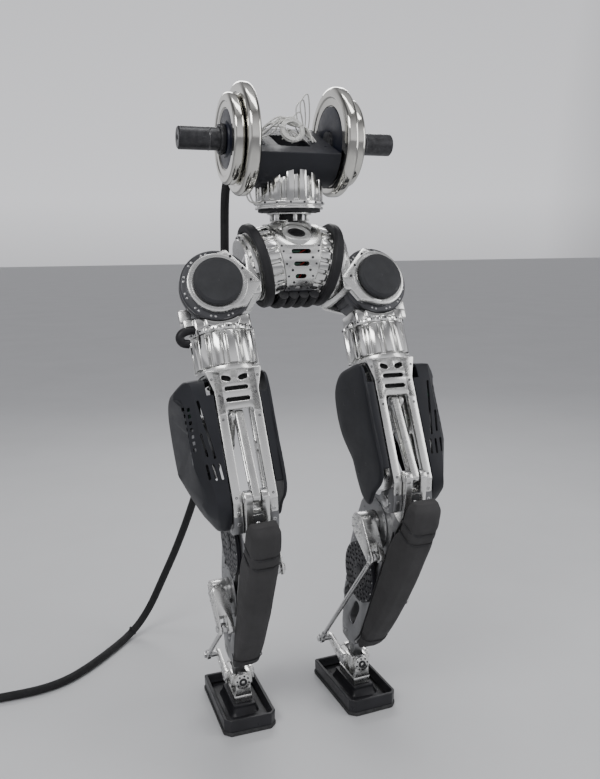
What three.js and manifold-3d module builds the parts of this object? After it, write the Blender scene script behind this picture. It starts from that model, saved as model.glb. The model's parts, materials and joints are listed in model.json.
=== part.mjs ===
// Biped walking robot: pelvis, two six-axis legs and a waist motor that carries a dumbbell as test load.
// Millimetres, +Z up, toes towards -Y. Each leg is modelled with +X as its outward side; the right leg,
// on the -X side, is mirrored. Nested groups are the joints, so the standing pose is set by angles.
import * as THREE from "three";
import { mergeVertices } from "three/addons/utils/BufferGeometryUtils.js";
import Module from "manifold-3d";

const wasm = await Module();
wasm.setup();

// ---- Driving dimensions ----
const GAP = 0.4; // clearance between parts that touch
const FOOTPRINT_CENTRE = new THREE.Vector2(7.574, -77.597); // middle of the robot's box, which becomes the origin

const HIP = { x: 167, z: 996, cant: THREE.MathUtils.degToRad(13), rollDrop: 33 };
const THIGH = 462; // hip roll axis to knee
const SHIN = 510; // knee to ankle
const ANKLE_HEIGHT = 86;

const DRUM = { z: 1268, r: 92, halfLength: 84, boreR: 23.3 };
const DECK = { frontY: -90, frontZ: -19, backY: 77, backZ: 36 }; // the drum's sloping top, from its axis
const BAR = { r: 22.5, halfLength: 229 };
const PLATES = [
  { name: "plate_inner", r: 110, start: 87, end: 113 },
  { name: "plate_outer", r: 88.5, start: 113.6, end: 136 },
];
const WAIST = { motorR: 70, motorTop: 1205, motorBottom: 1132, discR: 65, discBottom: 1126 };

const BARREL = { r: 76, z: 1026, halfWidth: 38 }; // pelvis body: a drum about X, as wide as this at its axis
const PITCH_MOTOR = { r: 76, start: -132, end: -105, ribs: 20 };
const GUARD = { outerR: 88, innerR: 73, start: -104, end: -85 };
const ROLL_MOTOR = { ringR: 73, bodyR: 58, front: -47.5, step: -18, back: 46.5 };
const YAW_MOTOR = { r: 66, top: -84, bottom: -164, ribs: 14 };

const RAIL = { inner: 26, outer: 44, front: -48, back: -4 };
const KNEE_MOTOR = { y: 22, z: -300, r: 60, start: 47, end: 100 };
const KNEE_ARM = { y: -50, z: 38 }; // crank and lever arm of the knee's parallelogram, in the standing pose
const UPPER_MOTOR = { y: 45, z: -105 }; // ankle motors, from the knee
const LOWER_MOTOR = { y: 38, z: -250 };
const UPPER_BALL = { y: -25, z: -130 };
const LOWER_BALL = { y: -30, z: -282 };
const ANKLE_MOTOR_R = 68;
const HORN = { y: 75, z: 20 }; // push rod ball, from the ankle
const SHIN_HALF = 23; // half thickness of the shin's body
const ROD_PLANE = { start: 47.5, end: 57.5 };
const FOOT = { halfLength: 107, halfWidth: 61, rim: -50, floor: -78, wall: 5, corner: 16 };

// Standing pose, in degrees. The knee's bend is worked out so that the sole meets the ground.
const POSES = {
  right: { side: -1, pitch: -23.1, roll: -3.6, yaw: 4.0 },
  left: { side: 1, pitch: -25.1, roll: 0.5, yaw: -2.5 },
};

const CABLE = { r: 10, centre: new THREE.Vector2(-800, 382), innerTurn: 100, outerTurn: 120 };

// ---- Materials ----
const finish = (color, roughness, metalness) => new THREE.MeshStandardMaterial({ color, roughness, metalness });
const aluminium = finish(0xc9cbcc, 0.3, 1);
const chrome = finish(0xb9bab4, 0.12, 1);
const anodised = finish(0x45474a, 0.4, 0.8);
const printed = finish(0x1b1c1e, 0.7, 0);
const blackened = finish(0x101112, 0.55, 0.2);
const foam = finish(0x2c2d30, 0.85, 0);
const sleeve = finish(0x121212, 0.7, 0);
const white = finish(0xdedfdc, 0.5, 0);

// ---- Geometry helpers ----
function solid(geometry) {
  const bare = geometry.clone();
  bare.deleteAttribute("normal");
  bare.deleteAttribute("uv");
  const merged = mergeVertices(bare, 1e-4);
  return new wasm.Manifold(
    new wasm.Mesh({
      numProp: 3,
      vertProperties: merged.attributes.position.array,
      triVerts: new Uint32Array(merged.index.array),
    }),
  );
}

function geometryOf(manifold) {
  const mesh = manifold.getMesh();
  return new THREE.BufferGeometry()
    .setAttribute("position", new THREE.BufferAttribute(mesh.vertProperties, 3))
    .setIndex(new THREE.BufferAttribute(mesh.triVerts, 1));
}

const join = (first, ...rest) => geometryOf(rest.reduce((sum, g) => sum.add(solid(g)), solid(first)));
const cut = (first, ...tools) => geometryOf(tools.reduce((left, g) => left.subtract(solid(g)), solid(first)));
const common = (a, b) => geometryOf(solid(a).intersect(solid(b)));

const box = (x0, x1, y0, y1, z0, z1) =>
  new THREE.BoxGeometry(x1 - x0, y1 - y0, z1 - z0).translate((x0 + x1) / 2, (y0 + y1) / 2, (z0 + z1) / 2);

function extrude(shape, depth, bevel = 0) {
  const options = { depth: depth - 2 * bevel, bevelEnabled: bevel > 0, bevelSegments: 1, curveSegments: 5 };
  Object.assign(options, { bevelSize: bevel, bevelThickness: bevel, bevelOffset: -bevel });
  return new THREE.ExtrudeGeometry(shape, options).translate(0, 0, bevel);
}

const polygon = (points) => new THREE.Shape(points.map(([a, b]) => new THREE.Vector2(a, b)));
const smooth = (points, steps) => {
  const curve = new THREE.CatmullRomCurve3(points.map(([a, b]) => new THREE.Vector3(a, b, 0)), true);
  return polygon(curve.getSpacedPoints(steps).slice(0, steps).map((p) => [p.x, p.y]));
};
const basis = (x, y, z) => new THREE.Matrix4().makeBasis(x, y, z);
const [X, Y, Z] = [new THREE.Vector3(1, 0, 0), new THREE.Vector3(0, 1, 0), new THREE.Vector3(0, 0, 1)];

// Outline in the side plane (y, z), from x0 to x1.
function sidePlate(shape, x0, x1, bevel) {
  return extrude(shape, x1 - x0, bevel).applyMatrix4(basis(Y, Z, X)).translate(x0, 0, 0);
}

// Outline in the front plane (x, z), from y0 to y1.
function frontPlate(shape, y0, y1, bevel) {
  return extrude(shape, y1 - y0, bevel).applyMatrix4(basis(X, Z, Y.clone().negate())).translate(0, y1, 0);
}

// Profiles are [radius, place along the axis] and turn about X, Y or Z.
function turned(profile, segments) {
  return new THREE.LatheGeometry(profile.map(([r, a]) => new THREE.Vector2(r, a)), segments);
}
const turnedX = (profile, segments = 24) => turned(profile, segments).rotateZ(-Math.PI / 2);
const turnedY = (profile, segments = 24) => turned(profile, segments);
const turnedZ = (profile, segments = 24) => turned(profile, segments).rotateX(Math.PI / 2);
const disc = (r, a0, a1, hole = 0) =>
  hole > 0
    ? [[hole, a0], [r, a0], [r, a1], [hole, a1], [hole, a0]]
    : [[0, a0], [r, a0], [r, a1], [0, a1]];

// A round outline with square ribs standing out of it.
function ribbed(r, ribs, depth) {
  const points = [];
  for (let i = 0; i < ribs; i++) {
    const at = (share, radius) => {
      const angle = ((i + share) / ribs) * 2 * Math.PI;
      points.push([radius * Math.cos(angle), radius * Math.sin(angle)]);
    };
    at(0, r);
    at(0.55, r);
    at(0.6, r - depth);
    at(0.95, r - depth);
  }
  return polygon(points);
}

// A flat bar with round ends between two places in the side plane.
function link(a, b, r, x0, x1) {
  const direction = Math.atan2(b.z - a.z, b.y - a.y);
  const shape = new THREE.Shape();
  shape.absarc(a.y, a.z, r, direction + Math.PI / 2, direction + (3 * Math.PI) / 2);
  shape.absarc(b.y, b.z, r, direction - Math.PI / 2, direction + Math.PI / 2);
  return sidePlate(shape, x0, x1);
}

// A closed tube along points: a section with the given number of sides.
function tube(points, r, sides, steps) {
  const section = new THREE.Shape();
  for (let i = 0; i < sides; i++) {
    const angle = (i / sides) * 2 * Math.PI;
    const place = [r * Math.cos(angle), r * Math.sin(angle)];
    i ? section.lineTo(...place) : section.moveTo(...place);
  }
  const path = new THREE.CatmullRomCurve3(points.map((p) => new THREE.Vector3(...p)));
  return new THREE.ExtrudeGeometry(section, { steps, bevelEnabled: false, extrudePath: path });
}

function add(group, name, geometry, material) {
  const mesh = new THREE.Mesh(geometry, material);
  mesh.name = name;
  group.add(mesh);
  return mesh;
}

function joint(parent, name, x, y, z) {
  const group = new THREE.Group();
  group.name = name;
  group.position.set(x, y, z);
  parent.add(group);
  return group;
}

// ---- Torso: the waist motor, the load drum and the dumbbell ----
function torso(parent) {
  const drumAxis = (geometry) => geometry.translate(0, 0, DRUM.z);
  const body = turnedX(disc(DRUM.r, -DRUM.halfLength, DRUM.halfLength, DRUM.boreR), 36);
  const lid = polygon([[-130, DECK.frontZ - 13], [130, DECK.backZ + 17.5], [130, 150], [-130, 150]]);
  const pocket = box(-34, 34, -60, 30, -14, 60);
  add(parent, "load_drum", drumAxis(cut(body, sidePlate(lid, -100, 100), pocket)), printed);
  add(parent, "dumbbell_bar", drumAxis(turnedX([[0, -BAR.halfLength], [BAR.r - 2, -BAR.halfLength],
    [BAR.r, 2 - BAR.halfLength], [BAR.r, BAR.halfLength - 2], [BAR.r - 2, BAR.halfLength],
    [0, BAR.halfLength]], 20)), blackened);
  for (const side of [-1, 1]) {
    for (const plate of PLATES) {
      const { r, start, end } = plate;
      const profile = [[DRUM.boreR, start + 3], [r * 0.7, start + 3], [r * 0.76, start], [r - 6, start],
        [r, start + 6], [r, end - 6], [r - 6, end], [r * 0.76, end], [r * 0.7, end - 3],
        [DRUM.boreR, end - 3], [DRUM.boreR, start + 3]];
      const name = plate.name + (side < 0 ? "_right" : "_left");
      const mesh = add(parent, name, drumAxis(turnedX(profile, 30)), chrome);
      mesh.scale.x = side;
    }
  }
  const motor = extrude(ribbed(WAIST.motorR, 16, 4), WAIST.motorTop - WAIST.motorBottom);
  motor.translate(0, 0, WAIST.motorBottom);
  const flange = turnedZ(disc(WAIST.motorR + 2, WAIST.motorBottom, WAIST.motorBottom + 12));
  const saddle = drumAxis(turnedX(disc(DRUM.r + GAP, -120, 120), 36));
  add(parent, "waist_motor", cut(join(motor, flange), saddle), aluminium);
}

// ---- Wire hank on the drum's deck, and the umbilical with its coil and connector ----
function cords(parent) {
  const slope = Math.atan2(DECK.backZ - DECK.frontZ, DECK.backY - DECK.frontY);
  const hank = turnedZ([[14, 0], [27, 0], [29, 5], [26, 11], [16, 11], [13, 5], [14, 0]], 24);
  hank.rotateX(slope).translate(-14, 44, DRUM.z + 27);
  add(parent, "wire_hank", hank, white);
  const { r, centre, innerTurn, outerTurn } = CABLE;
  const coilStart = centre.y - outerTurn;
  const route = [[-50, 93, 1262], [-51, 106, 1262], [-56, 126, 1258], [-66, 146, 1246], [-78, 161, 1226],
    [-88, 170, 1198], [-93, 174, 1155], [-95, 178, 1060], [-95, 187, 960], [-98, 206, 849],
    [-103, 238, 734], [-112, 286, 614], [-130, 338, 493], [-156, 386, 373], [-189, 424, 262],
    [-226, 451, 165], [-260, 466, 87], [-293, 468, 37], [-326, 450, 15], [-360, 414, 10.4],
    [-410, 359, 10.4], [-455, 316, 10.4], [-502, 282, 10.4], [-561, 262, 10.4], [-640, 258, 10.4],
    [-720, 261, 10.4], [-760, coilStart, 10.4], [centre.x + GAP, coilStart, 10.4]];
  add(parent, "umbilical", tube(route, r, 8, 48), sleeve);
  const ring = turnedZ(disc(outerTurn + r + 1, 0.3, 2 * r + 1, innerTurn - r - 1), 32);
  const way = box(0, 72, -outerTurn - r - 20, -outerTurn + r + 1, -5, 30);
  const coil = cut(ring, way).translate(centre.x, centre.y, 0);
  add(parent, "umbilical_coil", coil, sleeve);
  const plug = turnedX([[0, 0], [11, 0], [11, 12], [16, 16], [16, 60], [13, 64], [0, 64]], 16);
  plug.rotateZ(THREE.MathUtils.degToRad(-42)).translate(centre.x + 10, centre.y + innerTurn - 23, 16.4);
  add(parent, "umbilical_connector", plug, blackened);
}

// ---- Pelvis: the body between the two hip pitch motors ----
function pelvis(parent) {
  const lean = Math.tan(HIP.cant);
  const half = (z) => BARREL.halfWidth - GAP + (z - BARREL.z) * lean;
  const [low, high] = [BARREL.z - BARREL.r, BARREL.z + BARREL.r + 4];
  const wedge = frontPlate(polygon([[-half(low), low], [half(low), low], [half(high), high],
    [-half(high), high]]), -90, 90);
  const barrel = turnedX(disc(BARREL.r, -90, 90), 32).translate(0, 0, BARREL.z);
  const neck = turnedZ([[0, 1060], [44, 1060], [44, 1104], [30, 1112], [30, 1118], [46, 1122],
    [46, WAIST.discBottom - GAP], [0, WAIST.discBottom - GAP]], 20);
  const bossTilt = THREE.MathUtils.degToRad(28);
  const boss = turnedZ([[0, -30], [36, -30], [36, 8], [33, 11], [16, 11], [16, -4], [0, -4]], 24);
  boss.rotateX(bossTilt).translate(0, -46, 1078);
  const slots = [];
  for (let i = 0; i < 4; i++) {
    const halfSlot = 21 - 4.5 * i;
    const z = 1047 - 25 * i;
    slots.push(box(-halfSlot, halfSlot, -90, -50, z - 4.5, z + 4.5));
  }
  add(parent, "pelvis_frame", cut(join(common(wedge, barrel), neck, boss), ...slots), aluminium);
  add(parent, "waist_disc", turnedZ(disc(WAIST.discR, WAIST.discBottom, WAIST.motorBottom - GAP), 28), printed);

  const sleeveShape = new THREE.Shape();
  sleeveShape.absarc(0, BARREL.z, 98, 1.2 * Math.PI, 1.8 * Math.PI);
  sleeveShape.absarc(0, BARREL.z, 84, 1.8 * Math.PI, 1.2 * Math.PI, true);
  add(parent, "pelvis_cable_cover", sidePlate(sleeveShape, -40, 40, 5), printed);

  for (const [side, name] of [[-1, "right"], [1, "left"]]) {
    const group = new THREE.Group();
    group.position.set(side * HIP.x, 0, HIP.z);
    group.scale.x = side;
    parent.add(group);
    const ribs = sidePlate(ribbed(PITCH_MOTOR.r, PITCH_MOTOR.ribs, 4), PITCH_MOTOR.start, PITCH_MOTOR.end);
    const core = turnedX(disc(GUARD.innerR - 1, PITCH_MOTOR.end - 1, GUARD.end));
    add(group, "hip_pitch_motor_" + name, join(ribs, core).rotateY(HIP.cant), aluminium);
    const { outerR, innerR, start, end } = GUARD;
    const guard = turnedX([[innerR, start], [outerR - 3, start], [outerR, start + 3], [outerR, end - 3],
      [outerR - 3, end], [innerR, end], [innerR, start]], 28);
    add(group, "guard_ring_" + name, guard.rotateY(HIP.cant), printed);
  }
}

// ---- Hip: the link that pitches, and the motor on it that rolls the leg ----
function hipLink(group, name) {
  const drop = -HIP.rollDrop;
  const flange = turnedX(disc(70, -84, -73)).rotateY(HIP.cant);
  const round = (r, y0, y1) => turnedY(disc(r, y0, y1)).translate(0, 0, drop);
  const front = frontPlate(polygon([[22, 12], [-21, 36], [-84, -36], [-52, -80], [0, -93]]), -62, -48);
  const rear = frontPlate(polygon([[0, 17], [-84, 4], [-84, -60], [0, -83]]), 47, 57);
  const wall = box(-86, -60, -62, 57, -60, 30);
  const frame = join(wall, flange, front, rear, round(60, -62, -48), round(50, 47, 57));
  const motorSpace = round(ROLL_MOTOR.ringR + 1.8, -47.9, 46.9);
  const beyondFlange = turnedX(disc(110, -140, -84)).rotateY(HIP.cant);
  add(group, "hip_link_" + name, cut(frame, motorSpace, beyondFlange), aluminium);
  const cap = turnedY([[0, -75], [45, -75], [49, -72], [49, -62 - GAP], [0, -62 - GAP]]);
  add(group, "roll_cap_" + name, cap.translate(0, 0, drop), printed);
}

function rollMotor(group, name) {
  const { ringR, bodyR, front, step, back } = ROLL_MOTOR;
  const profile = [[0, front], [ringR - 2, front], [ringR, front + 2], [ringR, step], [bodyR, step],
    [bodyR, back], [0, back]];
  add(group, "roll_motor_" + name, turnedY(profile, 28), anodised);
  const { r, top, bottom, ribs } = YAW_MOTOR;
  const housing = extrude(ribbed(r, ribs, 5), top - bottom).translate(0, 0, bottom);
  const band = turnedZ(disc(r + 0.5, top - 12, top));
  const saddle = cut(box(-36, 36, -44, 34, top - 2, -50), turnedY(disc(ringR + GAP + 0.6, -60, 60), 28));
  add(group, "yaw_motor_" + name, join(housing, band, saddle), aluminium);
}

// ---- Thigh: the frame, its covers, and the knee motor with its crank and rod ----
function thigh(group, name) {
  const { inner, outer, front, back } = RAIL;
  const top = YAW_MOTOR.bottom - GAP;
  const collar = turnedZ(disc(60, top - 12, top));
  const face = frontPlate(polygon([[-56, top - 8], [56, top - 8], [outer, -215], [outer, -248],
    [-outer, -248], [-outer, -215]]), front, front + 12);
  const rail = polygon([[front, top - 8], [back, top - 8], [back, -425], [20, -445], [24, -462], [17, -480],
    [0, -486], [-20, -486], [-32, -452], [front, -430]]);
  const slot = (z) => box(-24, 24, front - 1, front + 13, z - 4, z + 4);
  const rails = [sidePlate(rail, inner, outer), sidePlate(rail, -outer, -inner)];
  const frame = cut(join(collar, face, ...rails), slot(-211), slot(-233));
  add(group, "thigh_frame_" + name, frame, aluminium);

  const { y, z, r, start, end } = KNEE_MOTOR;
  const motor = turnedX([[0, start], [r, start], [r, end - 8], [r - 8, end], [0, end]]);
  add(group, "knee_motor_" + name, motor.translate(0, y, z), anodised);

  const outline = [[-46, -430], [-46, -206], [-30, -184], [62, -180], [96, -204], [104, -250],
    [98, -320], [76, -392], [44, -452], [14, -474], [-18, -466]];
  const outside = domed(outline, [[46, 1], [94, 0.985], [118, 0.82]]);
  const inside = domed(outline, [[45, 0.95], [91, 0.935], [114, 0.77]]);
  const frameCorner = box(40, 60, -60, -33, -219, -150);
  const collarEdge = box(40, 62, -60, 60, -186, -150);
  const shell = cut(outside, inside, frameCorner, collarEdge);
  add(group, "thigh_cover_outer_" + name, shell, printed);

  const innerOutline = [[-46, -410], [-46, -204], [-28, -178], [66, -174], [104, -200], [110, -244],
    [100, -330], [76, -410], [52, -455], [34, -462], [4, -440]];
  const skin = sidePlate(smooth(innerOutline, 28), -68, -61, 2);
  const rim = sidePlate(polygon([[-46, -400], [-46, -220], [-34, -220], [-34, -400]]), -62, -46);
  add(group, "thigh_cover_inner_" + name, join(skin, rim), printed);
}

// A domed solid: copies of the outline at growing distances out, each shrunk about the outline's middle.
// Below the knee motor it is thinner, so that it slopes in towards the knee.
function domed(outline, levels) {
  const steps = 28;
  const middle = new THREE.Vector2(28, -300);
  const taper = (z) => 1 + Math.min(0, (z + 350) * 0.0045);
  const ring = smooth(outline, steps).getPoints().slice(0, steps);
  const positions = [];
  const indices = [];
  for (const [x, scale] of levels) {
    for (const p of ring) {
      const q = p.clone().sub(middle).multiplyScalar(scale).add(middle);
      const out = levels[0][0] + (x - levels[0][0]) * taper(q.y);
      positions.push(out, q.x, q.y);
    }
  }
  const next = (i) => (i + 1) % steps;
  for (let row = 0; row + 1 < levels.length; row++) {
    for (let i = 0; i < steps; i++) {
      const [a, b] = [row * steps + i, row * steps + next(i)];
      indices.push(a, b + steps, b, a, a + steps, b + steps);
    }
  }
  const last = (levels.length - 1) * steps;
  positions.push(levels[0][0], middle.x, middle.y, levels[levels.length - 1][0], middle.x, middle.y);
  const centre = levels.length * steps;
  for (let i = 0; i < steps; i++) {
    indices.push(i, next(i), centre);
    indices.push(last + next(i), last + i, centre + 1);
  }
  const geometry = new THREE.BufferGeometry();
  geometry.setAttribute("position", new THREE.Float32BufferAttribute(positions, 3));
  return geometry.setIndex(indices);
}

function kneeDrive(parent, name) {
  const crankGroup = joint(parent, name + "_knee_crank", 0, KNEE_MOTOR.y, KNEE_MOTOR.z);
  const shaft = turnedX(disc(13, 16, KNEE_MOTOR.start - GAP), 14);
  const hub = turnedX(disc(22, 9, 20), 20);
  const arm = link({ y: 0, z: 0 }, KNEE_ARM, 12, 9, 18);
  add(crankGroup, "knee_crank_" + name, join(shaft, hub, arm), aluminium);
  const rodGroup = joint(crankGroup, name + "_knee_rod", 0, KNEE_ARM.y, KNEE_ARM.z);
  const reach = { y: -KNEE_MOTOR.y, z: -THIGH - KNEE_MOTOR.z };
  add(rodGroup, "knee_rod_" + name, link({ y: 0, z: 0 }, reach, 11, -8.5, 8), aluminium);
}

// ---- Shin: the body with both ankle motors, the pad, the cranks and the push rods ----
function shin(group, name) {
  const body = [[-17, 62], [-12, 73], [0, 77], [9, 73], [12, 62], [24, 26], [60, -38], [100, -62], [117, -105],
    [119, -180], [112, -262], [92, -330], [60, -436], [42, -468], [14, -462], [-16, -440], [-31, -400],
    [-31, -60], [-38, -10], [-32, 20]];
  const rodSpace = sidePlate(polygon([[-50, 44], [-8, 36], [60, 4], [60, 90], [-50, 90]]), -9.5, 9.5);
  const tongue = link({ y: 10, z: 40 - SHIN }, { y: 0, z: -SHIN }, 14, -12, 12);
  const plates = cut(sidePlate(polygon(body), -SHIN_HALF, SHIN_HALF, 2), rodSpace);
  const bearings = turnedX(disc(17, -SHIN_HALF, SHIN_HALF), 16);
  add(group, "shin_frame_" + name, join(plates, bearings, tongue), anodised);

  const cover = (x0, x1, centre) => turnedX(disc(ANKLE_MOTOR_R, x0, x1), 28).translate(0, centre.y, centre.z);
  const [near, far] = [SHIN_HALF + GAP, SHIN_HALF + 9];
  add(group, "ankle_motor_cover_outer_" + name, cover(near, far, UPPER_MOTOR), blackened);
  add(group, "ankle_motor_cover_inner_" + name, cover(-far, -near, LOWER_MOTOR), blackened);

  const padSide = polygon([[-53, 46], [-74, 52], [-90, 34], [-97, 0], [-98, -80], [-92, -190], [-76, -300],
    [-54, -396], [-44, -416], [-35, -412], [-34, -60], [-52, -36]]);
  add(group, "shin_pad_" + name, sidePlate(padSide, -31, 31, 6), foam);
}

function ankleDrive(parent, name, where, motor, ball, side) {
  const crankGroup = joint(parent, name + "_ankle_crank_" + where, 0, motor.y, motor.z);
  const arm = { y: ball.y - motor.y, z: ball.z - motor.z };
  const face = SHIN_HALF + GAP;
  const hub = turnedX(disc(27, face, 46), 20);
  const bar = link({ y: 0, z: 0 }, arm, 12, face + 9, ROD_PLANE.start - 1);
  const crank = add(crankGroup, "ankle_crank_" + where + "_" + name, join(hub, bar), aluminium);
  crank.scale.x = side;
  const rodGroup = joint(crankGroup, name + "_pushrod_" + where, 0, arm.y, arm.z);
  return { rodGroup, side };
}

// The push rod runs from the crank's ball to the horn's ball, both in the plane of the shin.
function pushRod({ rodGroup, side }, name, where, reach) {
  const length = Math.hypot(reach.y, reach.z);
  const middle = (ROD_PLANE.start + ROD_PLANE.end) / 2;
  const rod = turnedZ(disc(5, 6, length - 6), 8);
  const eye = (at) => turnedX(disc(11, ROD_PLANE.start, ROD_PLANE.end), 14).translate(0, 0, at);
  const geometry = join(rod.translate(middle, 0, 0), eye(0), eye(length));
  geometry.rotateX(Math.atan2(-reach.y, reach.z));
  const mesh = add(rodGroup, "pushrod_" + where + "_" + name, geometry, aluminium);
  mesh.scale.x = side;
}

// ---- Ankle and foot ----
function ankleCross(group, name) {
  const tongueSpace = [box(-12.6, 12.6, -21, 21, -20, 20), box(-12.6, 12.6, -30, 30, 0, 20)];
  const ring = cut(box(-24.5, 24.5, -29, 29, -16, 16), ...tongueSpace);
  const horn = polygon([[20, -12], [84, 12], [86, 24], [78, 31], [66, 30], [14, 16], [-12, 16], [-12, -16]]);
  const ballEnd = ROD_PLANE.start - 1;
  const horns = [[24, 33], [-33, -24]].map(([x0, x1]) => sidePlate(horn, x0, x1));
  const balls = [[32, ballEnd], [-ballEnd, -32]].map(([x0, x1]) => turnedX(disc(8, x0, x1), 12));
  const seated = balls.map((ball) => ball.translate(0, HORN.y, HORN.z));
  add(group, "ankle_cross_" + name, join(ring, ...horns, ...seated), aluminium);
}

function foot(group, name) {
  const ear = (y0, y1) => join(box(-16, 16, y0, y1, -34, 0), turnedY(disc(19, y0, y1), 20));
  const base = box(-20, 20, -42, 42, FOOT.rim + GAP, -30);
  add(group, "foot_bracket_" + name, join(base, ear(-42, -30), ear(30, 42)), aluminium);

  const { halfLength, halfWidth, rim, floor, wall, corner } = FOOT;
  const outline = (inset) => {
    const [x, y, r] = [halfWidth - inset, halfLength - inset, corner - inset * 0.6];
    const shape = new THREE.Shape();
    shape.absarc(x - r, y - r, r, 0, Math.PI / 2);
    shape.absarc(r - x, y - r, r, Math.PI / 2, Math.PI);
    shape.absarc(r - x, r - y, r, Math.PI, 1.5 * Math.PI);
    shape.absarc(x - r, r - y, r, 1.5 * Math.PI, 2 * Math.PI);
    return shape;
  };
  const outside = extrude(outline(2), rim + ANKLE_HEIGHT).translate(0, 0, -ANKLE_HEIGHT);
  const sole = extrude(outline(0), 6).translate(0, 0, -ANKLE_HEIGHT);
  const inside = extrude(outline(2 + wall), 60).translate(0, 0, floor);
  const island = box(-25, 25, -50, 50, floor - 2, rim);
  add(group, "foot_tray_" + name, join(cut(join(outside, sole), inside), island), blackened);
}

// ---- One leg, joint by joint ----
function leg(parent, name, pose) {
  const radians = THREE.MathUtils.degToRad;
  const mirror = joint(parent, "", pose.side * HIP.x, 0, HIP.z);
  mirror.scale.x = pose.side;

  const pitch = joint(mirror, name + "_hip_pitch", 0, 0, 0);
  const cantedAxis = new THREE.Vector3(Math.cos(HIP.cant), 0, -Math.sin(HIP.cant));
  pitch.setRotationFromAxisAngle(cantedAxis, radians(pose.pitch));
  hipLink(pitch, name);

  const roll = joint(pitch, name + "_hip_roll", 0, 0, -HIP.rollDrop);
  roll.rotation.y = radians(pose.side * pose.roll);
  rollMotor(roll, name);

  const yaw = joint(roll, name + "_hip_yaw", 0, 0, 0);
  yaw.rotation.z = radians(pose.side * pose.yaw);
  thigh(yaw, name);
  kneeDrive(yaw, name);

  const knee = joint(yaw, name + "_knee", 0, 0, -THIGH);
  knee.rotation.x = kneeBend(parent, yaw);
  shin(knee, name);

  const ankle = joint(knee, name + "_ankle_pitch", 0, 0, -SHIN);
  const sole = joint(ankle, name + "_ankle_roll", 0, 0, 0);
  setFlat(parent, knee, ankle, sole);
  ankleCross(ankle, name);
  foot(sole, name);

  const hornPlace = new THREE.Vector3(0, HORN.y, HORN.z).applyEuler(ankle.rotation);
  const drives = [["inner", UPPER_MOTOR, UPPER_BALL, -1], ["outer", LOWER_MOTOR, LOWER_BALL, 1]];
  for (const [where, motor, ball, side] of drives) {
    const reach = { y: hornPlace.y - ball.y, z: hornPlace.z - SHIN - ball.z };
    pushRod(ankleDrive(knee, name, where, motor, ball, side), name, where, reach);
  }
}

// The knee angle that puts the ankle at its height, from the thigh's place and direction.
function kneeBend(parent, yaw) {
  parent.updateMatrixWorld(true);
  const e = yaw.matrixWorld.elements;
  const kneeZ = e[14] - THIGH * e[10];
  const [forward, up] = [SHIN * e[6], SHIN * e[10]];
  const reach = Math.hypot(forward, up);
  const straight = Math.atan2(forward, up);
  return Math.acos((kneeZ - ANKLE_HEIGHT) / reach) - straight;
}

// Turns the ankle's two axes so that the sole is level.
function setFlat(parent, knee, ankle, sole) {
  parent.updateMatrixWorld(true);
  const e = knee.matrixWorld.elements;
  const up = new THREE.Vector3(e[2], e[6], e[10]);
  sole.rotation.y = Math.asin(up.x);
  ankle.rotation.x = Math.atan2(-up.y, up.z);
}

const robot = new THREE.Group();
torso(robot);
pelvis(robot);
for (const name of ["right", "left"]) {
  leg(robot, name, POSES[name]);
}
cords(robot);
for (const child of robot.children) {
  child.position.x -= FOOTPRINT_CENTRE.x;
  child.position.y -= FOOTPRINT_CENTRE.y;
}

export default robot;
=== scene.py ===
import json
import math

import bmesh
import bpy
from mathutils import Matrix, Vector, noise
from mathutils.geometry import tessellate_polygon


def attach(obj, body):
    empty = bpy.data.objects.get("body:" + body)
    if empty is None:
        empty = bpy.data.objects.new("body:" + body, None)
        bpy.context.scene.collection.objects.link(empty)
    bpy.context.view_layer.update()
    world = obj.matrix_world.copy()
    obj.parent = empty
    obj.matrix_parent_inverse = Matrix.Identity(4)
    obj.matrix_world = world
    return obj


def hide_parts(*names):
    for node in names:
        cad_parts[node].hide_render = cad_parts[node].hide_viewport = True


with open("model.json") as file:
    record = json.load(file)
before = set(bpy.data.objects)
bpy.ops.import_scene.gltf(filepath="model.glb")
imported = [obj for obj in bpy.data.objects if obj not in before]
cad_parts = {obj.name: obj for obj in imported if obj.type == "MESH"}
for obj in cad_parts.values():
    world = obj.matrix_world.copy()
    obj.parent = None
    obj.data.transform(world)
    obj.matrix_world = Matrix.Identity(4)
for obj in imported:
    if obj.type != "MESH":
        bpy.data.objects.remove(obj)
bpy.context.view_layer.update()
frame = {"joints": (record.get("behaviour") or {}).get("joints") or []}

# Biped walking robot with a dumbbell as test load. Shapes are in millimetres in their own joint's frame:
# +X points outwards on a leg, toes are towards -Y, +Z is up. LEG and TORSO turn them into the frame's metres.
MM = 0.001
SIDES = {"right": -1, "left": 1}
X, Z = Vector((1, 0, 0)), Vector((0, 0, 1))
ORIGIN = Vector((0, 0, 0))

CANT = math.radians(13)  # lean of the hip pitch axes
ROLL_DROP = -33  # height of the hip roll axis in the hip's frame
THIGH = 462
SHIN = 510
DRUM_Z = 1268
DRUM_R = 92
DECK_FRONT, DECK_BACK = (-86.4, -31.6), (83.7, 38.2)  # the deck's edges, from the drum's axis
DECK_RISE = (DECK_BACK[1] - DECK_FRONT[1]) / (DECK_BACK[0] - DECK_FRONT[0])
DECK_LEVEL = DECK_BACK[1] - DECK_BACK[0] * DECK_RISE
WAIST_R = 70
BARREL_Z = 1026
BARREL_R = 76
KNEE_MOTOR = Vector((0, 22, -300))
UPPER_MOTOR = Vector((0, 45, -105))
LOWER_MOTOR = Vector((0, 38, -250))
UPPER_BALL = Vector((0, -25, -130))
LOWER_BALL = Vector((0, -30, -282))
HORN = Vector((0, 75, 20))
KNEE_ARM = Vector((0, -50, 38))
ROD_PLANE = (47.5, 57.5)
ROD_MIDDLE = sum(ROD_PLANE) / 2

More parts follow.
